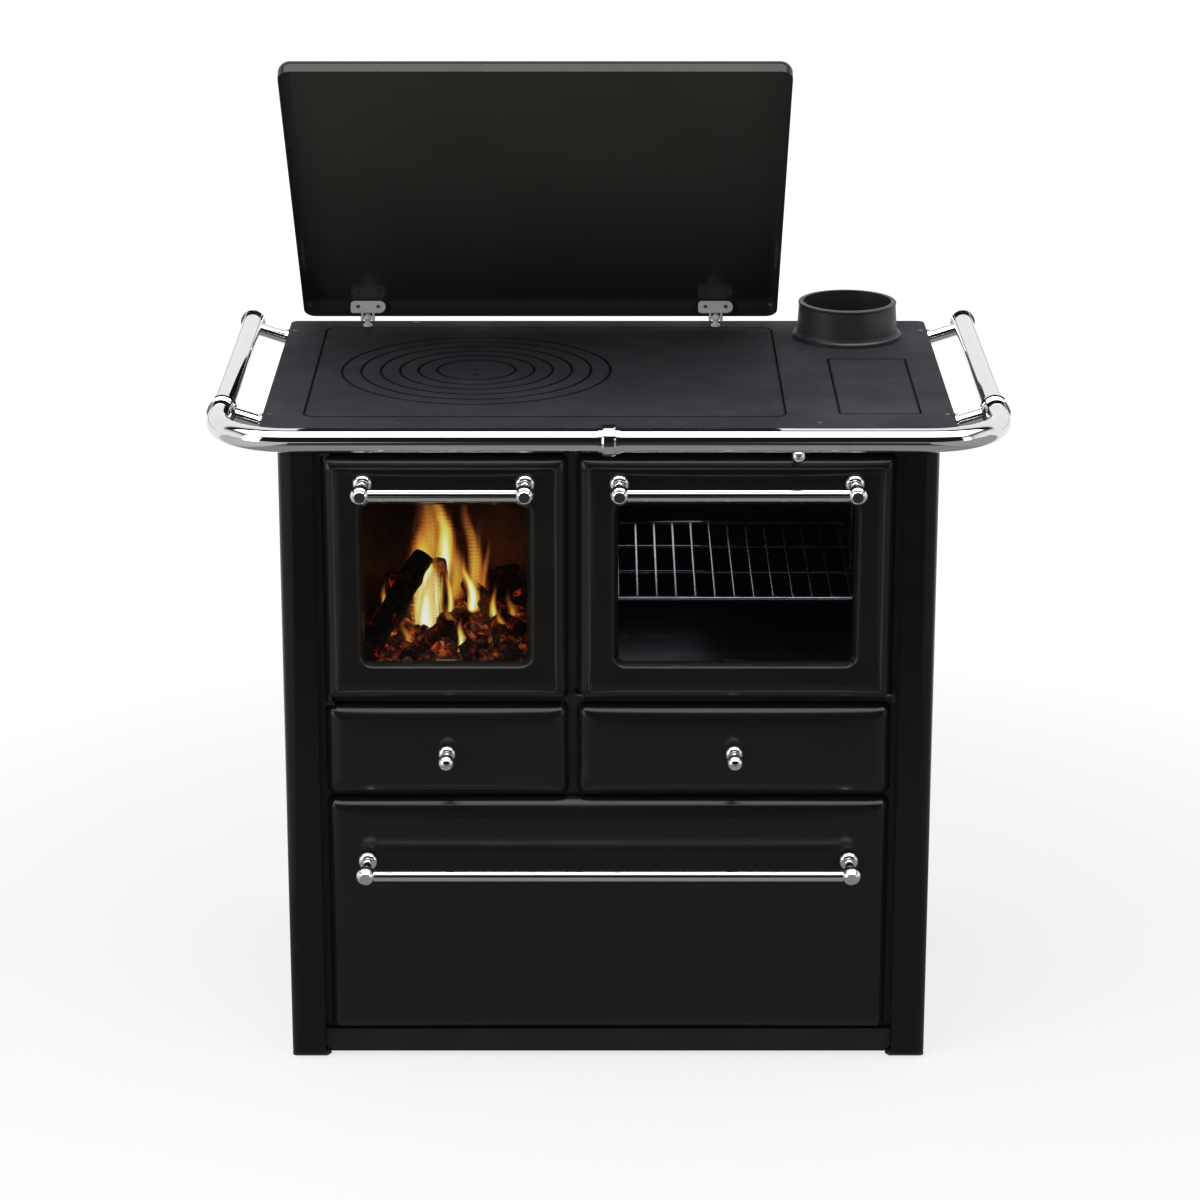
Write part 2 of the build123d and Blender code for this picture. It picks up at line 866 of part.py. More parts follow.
def firebox_casing():
    top = cooktop_underside - casing_sheet
    shape = block(casing_left, casing_right, frame_back, casing_back, middle_deck_top, top)
    shape -= block(
        casing_left + casing_sheet,
        casing_right - casing_sheet,
        frame_back - overcut,
        casing_back - casing_sheet,
        middle_deck_top - overcut,
        top + overcut,
    )
    shape -= block(
        casing_right - casing_sheet - 1.0,
        casing_right + overcut,
        frame_back + smoke_gap_inset,
        casing_back - smoke_gap_inset,
        top - smoke_gap,
        top + overcut,
    )
    return shape


def firebricks():
    c = casing_sheet
    z0 = middle_deck_top
    z1 = z0 + brick_height
    y1 = casing_back - c
    left = block(casing_left + c, casing_left + c + brick, frame_back + c, y1 - brick, z0, z1)
    right = block(casing_right - c - brick, casing_right - c, frame_back + c, y1 - brick, z0, z1)
    back = block(casing_left + c, casing_right - c, y1 - brick, y1, z0, z1)
    return [chamfer(top_edges(slab), brick_chamfer) for slab in (left, right, back)]


def grate():
    x0, x1, y0, y1 = grate_place()
    z0, z1 = middle_deck_top, middle_deck_top + grate_height
    shape = block(x0 + 0.5, x1 - 0.5, y0, y1, z0, z1)
    pitch = grate_bar + grate_slot
    span = x1 - x0 - 2 * grate_margin
    count = int((span + grate_bar) // pitch)
    first = (x0 + x1) / 2 - (count - 1) * pitch / 2
    for i in range(count):
        x = first + i * pitch
        shape -= lying(
            x - grate_slot / 2,
            x + grate_slot / 2,
            y0 + 2 * grate_margin,
            y1 - 2 * grate_margin,
            z0 - overcut,
            z1 + overcut,
            grate_slot / 2 - 0.1,
        )
    return shape


def oven_box():
    x0, x1, z0, z1 = door_opening(oven_span)
    t = oven_sheet
    y1 = frame_back + oven_depth
    shape = block(x0 - t, x1 + t, frame_back, y1 + t, z0 - t, z1 + t)
    return shape - block(x0, x1, frame_back - overcut, y1, z0, z1)


def oven_shelf():
    # Wires from front to back, welded across a bent frame wire.
    x0, x1, _, _ = door_opening(oven_span)
    x0, x1 = x0 + shelf_side_gap, x1 - shelf_side_gap
    y0, y1 = frame_back + shelf_inset, frame_back + oven_depth - shelf_inset
    z, r = shelf_level, shelf_frame_wire
    corners = [(x0, y0, z), (x1, y0, z), (x1, y1, z), (x0, y1, z)]
    path = FilletPolyline(*corners, radius=shelf_corner, close=True)
    shape = sweep(Plane(origin=path @ 0, z_dir=path % 0) * Circle(r), path=path)
    top = z + r
    count = int((x1 - x0 - shelf_pitch) // shelf_pitch) + 1
    first = (x0 + x1) / 2 - (count - 1) * shelf_pitch / 2
    for i in range(count):
        x = first + i * shelf_pitch
        shape += rod((x, y0, top), (x, y1, top), shelf_wire)
    for share in (1 / 3, 2 / 3):
        y = y0 + (y1 - y0) * share
        shape += rod((x0, y, z), (x1, y, z), shelf_cross_wire)
    return shape


def oven_racks():
    # A ladder on each side wall: two uprights and pairs of guide wires that a shelf slides between.
    x0, x1, z0, z1 = door_opening(oven_span)
    y0, y1 = frame_back + rack_inset, frame_back + oven_depth - rack_inset
    post_ys = (frame_back + rack_post_inset, frame_back + oven_depth - rack_post_inset)
    racks = []
    for wall, side in ((x0, 1), (x1, -1)):
        x = wall + side * rack_post
        ladder = None
        for y in post_ys:
            post = rod((x, y, z0 + rack_end_gap), (x, y, z1 - rack_end_gap), rack_post)
            ladder = post if ladder is None else ladder + post
        inner_x = x + side * rack_post * 0.8
        for i in range(rack_levels):
            z = shelf_level - shelf_frame_wire - rack_wire - slide_gap + (i - 1) * rack_pitch
            ladder += rod((inner_x, y0, z), (inner_x, y1, z), rack_wire)
        racks.append(ladder)
    return racks


def smoke_baffle():
    # Closes the gap above the oven in front of the flue, but for a port that the damper covers.
    _, _, _, oven_top = door_opening(oven_span)
    y0 = frame_back + oven_depth + oven_sheet - baffle_sheet
    z0 = oven_top + oven_sheet
    plate = block(casing_right, panel_inside, y0, y0 + baffle_sheet, z0, cooktop_underside)
    width, height = damper_hole
    z = (z0 + cooktop_underside) / 2
    return plate - block(
        damper_x - width / 2,
        damper_x + width / 2,
        y0 - overcut,
        y0 + baffle_sheet + overcut,
        z - height / 2,
        z + height / 2,
    )


def damper():
    _, _, _, oven_top = door_opening(oven_span)
    z = (oven_top + oven_sheet + cooktop_underside) / 2
    y1 = frame_back + oven_depth + oven_sheet - baffle_sheet - slide_gap
    width, height = damper_hole
    half_w, half_h = width / 2 + damper_lap, height / 2 + damper_lap
    plate = block(
        damper_x - half_w, damper_x + half_w, y1 - baffle_sheet, y1, z - half_h, z + half_h
    )
    slide = plate + rod(
        (damper_x, damper_ball_y, damper_level), (damper_x, y1 - 1.0, damper_level), damper_rod
    )
    ball = Pos(damper_x, damper_ball_y, damper_level) * Sphere(damper_ball)
    neck_radius, neck_length = damper_neck
    neck = rod(
        (damper_x, damper_ball_y, damper_level),
        (damper_x, damper_ball_y + damper_ball + neck_length, damper_level),
        neck_radius,
    )
    ball = ball + neck - rod(
        (damper_x, damper_ball_y, damper_level),
        (damper_x, damper_ball_y + 3 * damper_ball, damper_level),
        damper_rod + fit_gap,
    )
    return slide, ball


# ---- towel rail ----


def tube(path, radius):
    section = Plane(origin=path @ 0, z_dir=path % 0) * (Circle(radius) - Circle(radius - rail_wall))
    return sweep(section, path=path)


def rail_front_run():
    z = rail_level
    path = FilletPolyline(
        (rail_x, rail_joint_y, z),
        (rail_x, rail_y, z),
        (coupling_length / 4, rail_y, z),
        radius=rail_bend,
    )
    return tube(path, rail_tube)


def rail_side_run():
    path = Line((rail_x, rail_joint_y + 0.5, rail_level), (rail_x, rail_end_y, rail_level))
    return tube(path, rail_side_tube)


def rail_coupling():
    half, inner = coupling_length / 2, rail_tube + fit_gap
    s, reach = coupling_shoulder, coupling_length / 2 + coupling_ring_length
    points = [
        (inner, -reach),
        (coupling_ring_radius, -reach),
        (coupling_ring_radius, -half),
        (coupling_radius - s / 2, -half),
        (coupling_radius, -half + s),
        (coupling_radius, half - s),
        (coupling_radius - s / 2, half),
        (coupling_ring_radius, half),
        (coupling_ring_radius, reach),
        (inner, reach),
    ]
    return turned(points, (0, rail_y, rail_level), (1, 0, 0))


def rail_joint_collar():
    half = joint_collar_length / 2
    r, ring = joint_collar_radius, joint_ring_length
    points = [
        (rail_tube + fit_gap, -half),
        (r - 1, -half),
        (r, -half + 1),
        (r, -half + ring),
        (r - 2, -half + ring + 1),
        (r - 2, half - ring - 1),
        (r, half - ring),
        (r, half - 1),
        (r - 1, half),
        (rail_tube + fit_gap, half),
    ]
    return turned(points, (rail_x, rail_joint_y, rail_level), (0, 1, 0))


def rail_arm(y, tube_radius):
    # Rises from a rosette on the side of the cooktop to the underside of the tube.
    low, start = cooktop_level - arm_drop, cooktop_half - arm_embed
    reach = 2 * arm_radius
    arm = rod((start, y, low), (rail_x, y, rail_level), arm_radius)
    arm -= block(0, cooktop_half, y - reach, y + reach, low - reach, rail_level + reach)
    arm -= rod((rail_x, y - reach, rail_level), (rail_x, y + reach, rail_level), tube_radius)
    radius, height = arm_rosette
    middle = low + (rail_level - low) * arm_embed / (rail_x - start)
    disc = rod((cooktop_half, y, middle), (cooktop_half + height, y, middle), radius)
    return (arm + disc).solids().sort_by(Axis.X)[0]


def rail_end_cap():
    points = [
        (0, 0),
        (cap_radius, 0),
        (cap_radius, cap_rim),
        cove((cap_radius, cap_rim), (cap_radius - cap_length + cap_rim, cap_length)),
        (0, cap_length),
    ]
    return turned(points, (rail_x, rail_end_y, rail_level), (0, 1, 0))


def both_sides(shape):
    return [shape, mirror(shape, about=Plane.YZ)]


# ---- folding lid ----


def opened(shape):
    return shape.rotate(Axis((0, hinge_y, hinge_level), (1, 0, 0)), -lid_open)


def lid_pan():
    # Built shut, as a tray with its hollow side down, then opened to its resting angle.
    rim = hinge_level + lid_rim_lift
    top = rim + lid_flange
    back = hinge_y + lid_boss + lid_sheet
    outer = lying(lid_left, lid_right, lid_front, back, rim, top, lid_corner)
    outer = fillet(top_edges(outer), lid_edge)
    t = lid_sheet
    inner = lying(
        lid_left + t, lid_right - t, lid_front + t, back - t, rim - overcut, top - t, lid_corner - t
    )
    inner = fillet(top_edges(inner), lid_edge - t)
    pan = outer - inner
    width, height, _ = lid_plate
    for x in lid_hinge_x:
        half = width / 2 + lid_boss_margin
        pan += block(x - half, x + half, hinge_y, back - t / 2, rim, rim + height + lid_boss_margin)
    return opened(pan)


def lid_hinge_plate(x):
    # A plate on the inside of the rear flange, with two knuckles round the post's pin.
    width, height, thick = lid_plate
    y0 = hinge_y - thick
    z0 = hinge_level + lid_rim_lift + lid_plate_lift
    plate = block(x - width / 2, x + width / 2, y0, hinge_y, z0, z0 + height)
    left = plate.edges().filter_by(Axis.Y).group_by(Axis.X)[0]
    plate = fillet(left, lid_plate_corners[0])
    right = plate.edges().filter_by(Axis.Y).group_by(Axis.X)[-1]
    plate = fillet(right, lid_plate_corners[1])
    for side in (-1, 1):
        screw_x, screw_z = x + side * lid_screw_spread, z0 + height / 2
        plate -= rod((screw_x, y0 - overcut, screw_z), (screw_x, hinge_y, screw_z), lid_screw_hole)
    near, far = lid_knuckle_span
    for side in (-1, 1):
        xs = sorted((x + side * near, x + side * far))
        web = block(*xs, y0, hinge_y, hinge_level, z0 + 2.0)
        eye = rod((xs[0], hinge_y, hinge_level), (xs[1], hinge_y, hinge_level), lid_knuckle_radius)
        plate = plate + web + eye
    hole = rod(
        (x - 2 * far, hinge_y, hinge_level), (x + 2 * far, hinge_y, hinge_level), lid_pin_radius + fit_gap
    )
    return opened(plate - hole)


def lid_post(x):
    # A small turned post through the cooktop, with a cross pin in its ball.
    h = hinge_level - cooktop_level
    b = lid_post_bulge
    points = [
        (0, -cooktop_plate),
        (lid_post_waist, -cooktop_plate),
        (lid_post_waist, 0),
        (b - 0.8, 0),
        (b, 0.8),
        (b, 2.2),
        (b - 1.2, 3.4),
        (lid_post_waist, 4.2),
        (lid_post_waist, h - lid_post_ball + 1.4),
        (lid_post_waist, h),
        (0, h),
    ]
    post = turned(points, (x, hinge_y, cooktop_level), (0, 0, 1))
    post += Pos(x, hinge_y, hinge_level) * Sphere(lid_post_ball)
    return post + rod(
        (x - lid_pin_half, hinge_y, hinge_level), (x + lid_pin_half, hinge_y, hinge_level), lid_pin_radius
    )


def build():
    os.makedirs("parts", exist_ok=True)

    save("cooktop_frame", cooktop_frame())
    save("hob_plate", hob_plate())
    *rings, centre = hob_rings()
    for number, ring in enumerate(reversed(rings), start=1):
        save(f"hob_ring_{number}", ring)
    save("hob_centre_lid", centre)
    save("cleanout_plate", cleanout_plate())
    save("flue_collar", flue_collar())

    save("side_panel_left", side_panel(-1))
    save("side_panel_right", side_panel(1))
    save("foot_runners", foot_runner(-1), foot_runner(1))
    save("back_panel", back_panel())
    save("base_frame", base_frame())
    save("front_frame", front_frame())
    lower, middle = decks()
    save("lower_deck", lower)
    save("middle_deck", middle)

    small_depth = back_inside - frame_back
    rails = []
    rails += runner_pair(fire_span, small_bottom, small_tray_height, lower_deck_top, small_depth)
    rails += runner_pair(oven_span, small_bottom, small_tray_height, lower_deck_top, small_depth)
    rails += runner_pair(wood_span, wood_bottom, wood_tray_height, base_top, small_depth)
    save("drawer_runners", *rails)

    fire_brackets, fire_cutters = fire_door_hinges()
    oven_brackets, oven_cutters = oven_door_hinges()
    save("door_hinge_brackets", *fire_brackets, *oven_brackets)
    door("fire_door", fire_span, fire_cutters)
    door("oven_door", oven_span, oven_cutters)

    small_middle = (small_top + small_bottom) / 2 - knob_drop
    for name, span in (("ash_drawer", fire_span), ("pan_drawer", oven_span)):
        save(f"{name}_front", front_pan(*span, small_bottom, small_top))
        save(
            f"{name}_tray",
            tray(span, small_bottom, small_top, small_tray_height, small_tray_depth),
        )
        save(f"{name}_knob", knob(sum(span) / 2, small_middle))
    save("wood_drawer_front", front_pan(*wood_span, wood_bottom, wood_top))
    save("wood_drawer_tray", tray(wood_span, wood_bottom, wood_top, wood_tray_height, wood_tray_depth))
    bar, mounts = handle(
        wood_span[0] + wood_handle_inset,
        wood_span[1] - wood_handle_inset,
        wood_top - wood_handle_drop,
        wood_bar_radius,
    )
    save("wood_drawer_handle_bar", bar)
    save("wood_drawer_handle_mounts", *mounts)

    save("firebox_casing", firebox_casing())
    save("firebricks", *firebricks())
    save("fire_grate", grate())
    save("oven_box", oven_box())
    save("oven_shelf", oven_shelf())
    save("oven_racks", *oven_racks())
    save("smoke_baffle", smoke_baffle())
    slide, ball = damper()
    save("damper_slide", slide)
    save("damper_knob", ball)

    save("rail_tubes", *both_sides(rail_front_run()), *both_sides(rail_side_run()))
    save("rail_coupling", rail_coupling())
    save("rail_collars_and_caps", *both_sides(rail_joint_collar()), *both_sides(rail_end_cap()))
    arms = both_sides(rail_arm(rail_joint_y, joint_collar_radius))
    arms += both_sides(rail_arm(rail_rear_arm_y, rail_side_tube))
    save("rail_arms", *arms)

    save("lid_pan", lid_pan())
    save("lid_hinge_plates", *[lid_hinge_plate(x) for x in lid_hinge_x])
    save("lid_posts", *[lid_post(x) for x in lid_hinge_x])


build()
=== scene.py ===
import json
import math
import random

import bmesh
import bpy
from mathutils import Matrix, Vector, noise


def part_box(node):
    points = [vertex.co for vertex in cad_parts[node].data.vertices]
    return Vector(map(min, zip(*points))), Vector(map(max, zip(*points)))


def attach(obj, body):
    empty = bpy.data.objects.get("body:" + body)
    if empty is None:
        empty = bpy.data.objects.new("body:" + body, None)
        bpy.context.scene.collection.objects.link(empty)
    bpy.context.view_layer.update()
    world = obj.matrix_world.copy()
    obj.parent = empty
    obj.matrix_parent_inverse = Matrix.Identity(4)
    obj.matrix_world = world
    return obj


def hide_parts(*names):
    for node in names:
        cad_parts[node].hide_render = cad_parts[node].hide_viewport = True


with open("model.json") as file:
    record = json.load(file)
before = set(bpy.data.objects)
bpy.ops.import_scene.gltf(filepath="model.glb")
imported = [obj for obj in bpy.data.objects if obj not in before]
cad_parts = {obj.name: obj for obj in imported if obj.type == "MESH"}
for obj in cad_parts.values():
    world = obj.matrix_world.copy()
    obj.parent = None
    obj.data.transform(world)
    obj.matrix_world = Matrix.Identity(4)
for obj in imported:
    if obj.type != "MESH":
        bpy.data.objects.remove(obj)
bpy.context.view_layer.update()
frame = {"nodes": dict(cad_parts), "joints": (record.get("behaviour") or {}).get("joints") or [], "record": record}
cadNodes = frame["nodes"]
joints = {joint["name"]: joint for joint in frame["joints"]}
mm = 0.001
print("frame loaded:", len(cadNodes), "nodes")


# small helpers for node trees

def feed(tree, socket, value):
    # a socket is linked, anything else is set as a constant
    if isinstance(value, bpy.types.NodeSocket):
        tree.links.new(value, socket)
    elif value is not None:
        socket.default_value = value


def calc(tree, operation, first, second=None, clamp=False):
    node = tree.nodes.new("ShaderNodeMath")
    node.operation = operation
    node.use_clamp = clamp
    feed(tree, node.inputs[0], first)
    feed(tree, node.inputs[1], second)
    return node.outputs[0]


def times(tree, first, second):
    return calc(tree, "MULTIPLY", first, second)


def remap(tree, source, fromLow, fromHigh, toLow, toHigh, smooth=False):
    node = tree.nodes.new("ShaderNodeMapRange")
    if smooth:
        node.interpolation_type = "SMOOTHSTEP"
    for socket, value in zip(node.inputs, (source, fromLow, fromHigh, toLow, toHigh)):
        feed(tree, socket, value)
    return node.outputs[0]


def blendColour(tree, factor, first, second, mode="MIX"):
    node = tree.nodes.new("ShaderNodeMix")
    node.data_type = "RGBA"
    node.blend_type = mode
    feed(tree, node.inputs[0], factor)
    feed(tree, node.inputs[6], first)
    feed(tree, node.inputs[7], second)
    return node.outputs[2]


def ramp(tree, source, *stops):
    node = tree.nodes.new("ShaderNodeValToRGB")
    feed(tree, node.inputs[0], source)
    elements = node.color_ramp.elements
    while len(elements) < len(stops):
        elements.new(0.5)
    for element, (place, colour) in zip(elements, stops):
        element.position = place
        element.color = colour if len(colour) == 4 else (*colour, 1.0)
    return node.outputs[0]


def noisePattern(tree, vector, scale, detail=3.0, roughness=0.5, distortion=0.0):
    node = tree.nodes.new("ShaderNodeTexNoise")
    feed(tree, node.inputs["Vector"], vector)
    feed(tree, node.inputs["Scale"], scale)
    feed(tree, node.inputs["Detail"], detail)
    feed(tree, node.inputs["Roughness"], roughness)
    feed(tree, node.inputs["Distortion"], distortion)
    return node.outputs[0]


def cells(tree, vector, scale, feature="F1", randomness=1.0):
    node = tree.nodes.new("ShaderNodeTexVoronoi")
    node.feature = feature
    feed(tree, node.inputs["Vector"], vector)
    feed(tree, node.inputs["Scale"], scale)
    feed(tree, node.inputs["Randomness"], randomness)
    return node


def stretched(tree, vector, scale, turn=(0.0, 0.0, 0.0)):
    node = tree.nodes.new("ShaderNodeMapping")
    feed(tree, node.inputs["Vector"], vector)
    feed(tree, node.inputs["Scale"], scale)
    feed(tree, node.inputs["Rotation"], turn)
    return node.outputs[0]


def bumped(tree, height, distance, strength=1.0, under=None):
    node = tree.nodes.new("ShaderNodeBump")
    feed(tree, node.inputs["Height"], height)
    feed(tree, node.inputs["Distance"], distance)
    feed(tree, node.inputs["Strength"], strength)
    feed(tree, node.inputs["Normal"], under)
    return node.outputs[0]


def startMaterial(name, **shaderValues):
    # an empty material with its Principled shader and the object coordinates
    material = bpy.data.materials.new(name)
    material.use_nodes = True
    tree = material.node_tree
    tree.nodes.clear()
    shader = tree.nodes.new("ShaderNodeBsdfPrincipled")
    output = tree.nodes.new("ShaderNodeOutputMaterial")
    tree.links.new(shader.outputs[0], output.inputs[0])
    for key, value in shaderValues.items():
        shader.inputs[key.replace("_", " ")].default_value = value
    coordinates = tree.nodes.new("ShaderNodeTexCoord").outputs["Object"]
    return material, tree, shader, coordinates


def startGroup(name, inputs, outputs):
    group = bpy.data.node_groups.new(name, "ShaderNodeTree")
    for label, kind, value in inputs:
        socket = group.interface.new_socket(label, in_out="INPUT", socket_type=kind)
        if value is not None:
            socket.default_value = value
    for label, kind in outputs:
        group.interface.new_socket(label, in_out="OUTPUT", socket_type=kind)
    return group, group.nodes.new("NodeGroupInput").outputs, group.nodes.new("NodeGroupOutput").inputs


def placeGroup(tree, group, **values):
    node = tree.nodes.new("ShaderNodeGroup")
    node.node_tree = group
    for key, value in values.items():
        feed(tree, node.inputs[key], value)
    return node.outputs


# shared effects

def makeCastGrain():
    # the fine pebbled skin of sand-cast iron, and broad cloudy patches
    group, given, wanted = startGroup(
        "castGrain",
        [("Place", "NodeSocketVector", None), ("Grain", "NodeSocketFloat", 900.0),
         ("Patches", "NodeSocketFloat", 14.0)],
        [("Height", "NodeSocketFloat"), ("Patch", "NodeSocketFloat"), ("Pit", "NodeSocketFloat")])
    fine = noisePattern(group, given["Place"], given["Grain"], 4.0, 0.65)
    pebble = cells(group, given["Place"], given["Grain"], "SMOOTH_F1").outputs["Distance"]
    coarse = noisePattern(group, given["Place"], times(group, given["Grain"], 0.12), 2.0)
    height = calc(group, "ADD", fine, times(group, pebble, 0.5))
    height = calc(group, "ADD", height, times(group, coarse, 0.6))
    feed(group, wanted["Height"], height)
    patch = noisePattern(group, given["Place"], given["Patches"], 5.0, 0.6)
    feed(group, wanted["Patch"], remap(group, patch, 0.35, 0.68, 0.0, 1.0, True))
    feed(group, wanted["Pit"], remap(group, fine, 0.30, 0.42, 1.0, 0.0))
    return group


def makeWipeMarks():
    # faint cloth marks and dust in gloss, as a change of roughness
    group, given, wanted = startGroup(
        "wipeMarks",
        [("Place", "NodeSocketVector", None), ("Amount", "NodeSocketFloat", 0.05),
         ("Base", "NodeSocketFloat", 0.1)],
        [("Roughness", "NodeSocketFloat"), ("Marks", "NodeSocketFloat")])
    sweep = noisePattern(group, stretched(group, given["Place"], (3.0, 9.0, 16.0), (0.3, 0.2, 0.6)),
                         1.4, 6.0, 0.6, 0.8)
    dots = noisePattern(group, given["Place"], 700.0, 2.0)
    marks = calc(group, "ADD", remap(group, sweep, 0.42, 0.75, 0.0, 1.0, True),
                 remap(group, dots, 0.66, 0.80, 0.0, 0.6))
    feed(group, wanted["Marks"], marks)
    feed(group, wanted["Roughness"], calc(group, "ADD", given["Base"],
                                          times(group, marks, given["Amount"])))
    return group


def makeFlowSkin():
    # the slow waviness and fine orange peel of fired enamel and sprayed paint
    group, given, wanted = startGroup(
        "flowSkin",
        [("Place", "NodeSocketVector", None), ("Peel", "NodeSocketFloat", 260.0),
         ("Wave", "NodeSocketFloat", 16.0), ("PeelShare", "NodeSocketFloat", 0.25)],
        [("Height", "NodeSocketFloat")])
    peel = noisePattern(group, given["Place"], given["Peel"], 1.5)
    wave = noisePattern(group, given["Place"], given["Wave"], 2.0)
    feed(group, wanted["Height"], calc(group, "ADD", wave, times(group, peel,
                                                                given["PeelShare"])))
    return group


def makeSoot():
    # a dark film, thicker in a noisy band that rises from one level to another
    group, given, wanted = startGroup(
        "sootFilm",
        [("Place", "NodeSocketVector", None), ("Low", "NodeSocketFloat", 0.5),
         ("High", "NodeSocketFloat", 0.8),
         ("Ragged", "NodeSocketFloat", 0.08)],
        [("Mask", "NodeSocketFloat")])
    axes = group.nodes.new("ShaderNodeSeparateXYZ")
    feed(group, axes.inputs[0], given["Place"])
    smoke = noisePattern(group, stretched(group, given["Place"], (1.0, 1.0, 0.35)), 22.0, 5.0, 0.62)
    shift = times(group, calc(group, "SUBTRACT", smoke, 0.5), given["Ragged"])
    level = calc(group, "ADD", axes.outputs["Z"], shift)
    feed(group, wanted["Mask"], remap(group, level, given["Low"], given["High"], 0.0, 1.0, True))
    return group


def makeBrushLines():
    # straight fine lines left by rolling or brushing, along one axis
    group, given, wanted = startGroup(
        "brushLines",
        [("Place", "NodeSocketVector", None), ("Spread", "NodeSocketVector", None)],
        [("Line", "NodeSocketFloat")])
    node = group.nodes.new("ShaderNodeVectorMath")
    node.operation = "MULTIPLY"
    feed(group, node.inputs[0], given["Place"])
    feed(group, node.inputs[1], given["Spread"])
    feed(group, wanted["Line"], noisePattern(group, node.outputs[0], 1.0, 3.0, 0.7))
    return group


castGrain = makeCastGrain()
wipeMarks = makeWipeMarks()
flowSkin = makeFlowSkin()
sootFilm = makeSoot()
brushLines = makeBrushLines()
print("shared effects ready")


# finishes

enamelLook = {
    "black": (0.0066, 0.0061, 0.0053, 1.0),
    "cloud": (0.0078, 0.0072, 0.0063, 1.0),
    "roughness": 0.16,
    "specular": 0.25,
    "peel": 0.00006,
}


def makeEnamel(name, tone=1.0, roughness=enamelLook["roughness"], specular=enamelLook["specular"]):
    look = enamelLook
    material, tree, shader, place = startMaterial(
        name, Specular_IOR_Level=specular, Coat_Weight=0.0, IOR=1.5)
    cloud = noisePattern(tree, place, 5.0, 3.0)
    # tone scales the enamel's colour; a tone other than 1 makes a painted lighter or darker copy of the same
    # enamel
    dark = [value * tone for value in look["black"][:3]] + [1.0]
    pale = [value * tone for value in look["cloud"][:3]] + [1.0]
    marks = placeGroup(tree, wipeMarks, Place=place, Amount=0.07, Base=roughness)
    colour = blendColour(tree, remap(tree, cloud, 0.3, 0.7, 0.0, 1.0), dark, pale)
    feed(tree, shader.inputs["Base Color"], colour)
    feed(tree, shader.inputs["Roughness"], marks["Roughness"])
    skin = placeGroup(tree, flowSkin, Place=place, Peel=330.0, Wave=18.0, PeelShare=0.12)
    feed(tree, shader.inputs["Normal"], bumped(tree, skin["Height"], look["peel"]))
    return material


def makeOvenEnamel():
    # blue-black ground with the fine pale flecks of oven enamel
    material, tree, shader, place = startMaterial("ovenEnamel", Specular_IOR_Level=0.35)
    flecks = cells(tree, place, 420.0)
    size = noisePattern(tree, place, 300.0, 2.0)
    reach = remap(tree, size, 0.5, 0.8, 0.02, 0.22)
    mask = calc(tree, "LESS_THAN", flecks.outputs["Distance"], reach)
    colour = blendColour(tree, times(tree, mask, 0.15), (0.0042, 0.0050, 0.0078, 1),
                         (0.07, 0.074, 0.082, 1))
    feed(tree, shader.inputs["Base Color"], colour)
    marks = placeGroup(tree, wipeMarks, Place=place, Amount=0.18, Base=0.24)
    feed(tree, shader.inputs["Roughness"], marks["Roughness"])
    skin = placeGroup(tree, flowSkin, Place=place, Peel=300.0, Wave=30.0, PeelShare=0.4)
    feed(tree, shader.inputs["Normal"], bumped(tree, skin["Height"], 0.0001))
    return material


def makeJointLines(width=2.1 * mm):
    # soot and shade in the joints round the loose plates and rings
    group, given, wanted = startGroup(
        "jointLines", [("Place", "NodeSocketVector", None)], [("Mask", "NodeSocketFloat")])
    axes = group.nodes.new("ShaderNodeSeparateXYZ")
    feed(group, axes.inputs[0], given["Place"])

    def fromMiddle(axis, low, high):
        return calc(group, "ABSOLUTE", calc(group, "SUBTRACT", axes.outputs[axis], (low + high) / 2))

    nearest = None
    for name in ("hob_plate", "cleanout_plate"):
        low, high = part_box(name)
        rounding = 15 * mm if name == "hob_plate" else 1 * mm
        overX = calc(group, "SUBTRACT", fromMiddle("X", low.x, high.x), (high.x - low.x) / 2 - rounding)
        overY = calc(group, "SUBTRACT", fromMiddle("Y", low.y, high.y), (high.y - low.y) / 2 - rounding)
        outX, outY = calc(group, "MAXIMUM", overX, 0.0), calc(group, "MAXIMUM", overY, 0.0)
        out = calc(group, "POWER", calc(group, "ADD", times(group, outX, outX),
                                        times(group, outY, outY)), 0.5)
        inner = calc(group, "MINIMUM", calc(group, "MAXIMUM", overX, overY), 0.0)
        gap = calc(group, "ABSOLUTE", calc(group, "SUBTRACT", calc(group, "ADD", out, inner), rounding))
        nearest = gap if nearest is None else calc(group, "MINIMUM", nearest, gap)
    low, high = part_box("hob_centre_lid")
    awayX, awayY = fromMiddle("X", low.x, high.x), fromMiddle("Y", low.y, high.y)
    away = calc(group, "POWER", calc(group, "ADD", times(group, awayX, awayX),
                                     times(group, awayY, awayY)), 0.5)
    for name in ("hob_centre_lid", "hob_ring_1", "hob_ring_2", "hob_ring_3", "hob_ring_4", "hob_ring_5"):
        low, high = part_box(name)
        gap = calc(group, "ABSOLUTE", calc(group, "SUBTRACT", away, (high.x - low.x) / 2 + 0.4 * mm))
        nearest = calc(group, "MINIMUM", nearest, gap)
    feed(group, wanted["Mask"], remap(group, nearest, width * 0.75, width * 1.35, 1.0, 0.0, True))
    return group


jointLines = makeJointLines()
castLooks = {
    "cooktop": {"dark": (0.029, 0.0285, 0.0340, 1), "pale": (0.037, 0.0365, 0.0430, 1), "roughness": 0.70,
                "grain": 620.0, "relief": 0.00012, "specular": 0.10, "joints": True},
    "collar": {"dark": (0.0175, 0.0178, 0.0205, 1), "pale": (0.0285, 0.0287, 0.0320, 1), "roughness": 0.40,
               "grain": 420.0, "relief": 0.00020, "specular": 0.40},
    "grate": {"dark": (0.030, 0.026, 0.022, 1), "pale": (0.085, 0.072, 0.060, 1), "roughness": 0.80,
              "grain": 300.0, "relief": 0.00045, "specular": 0.25},
}


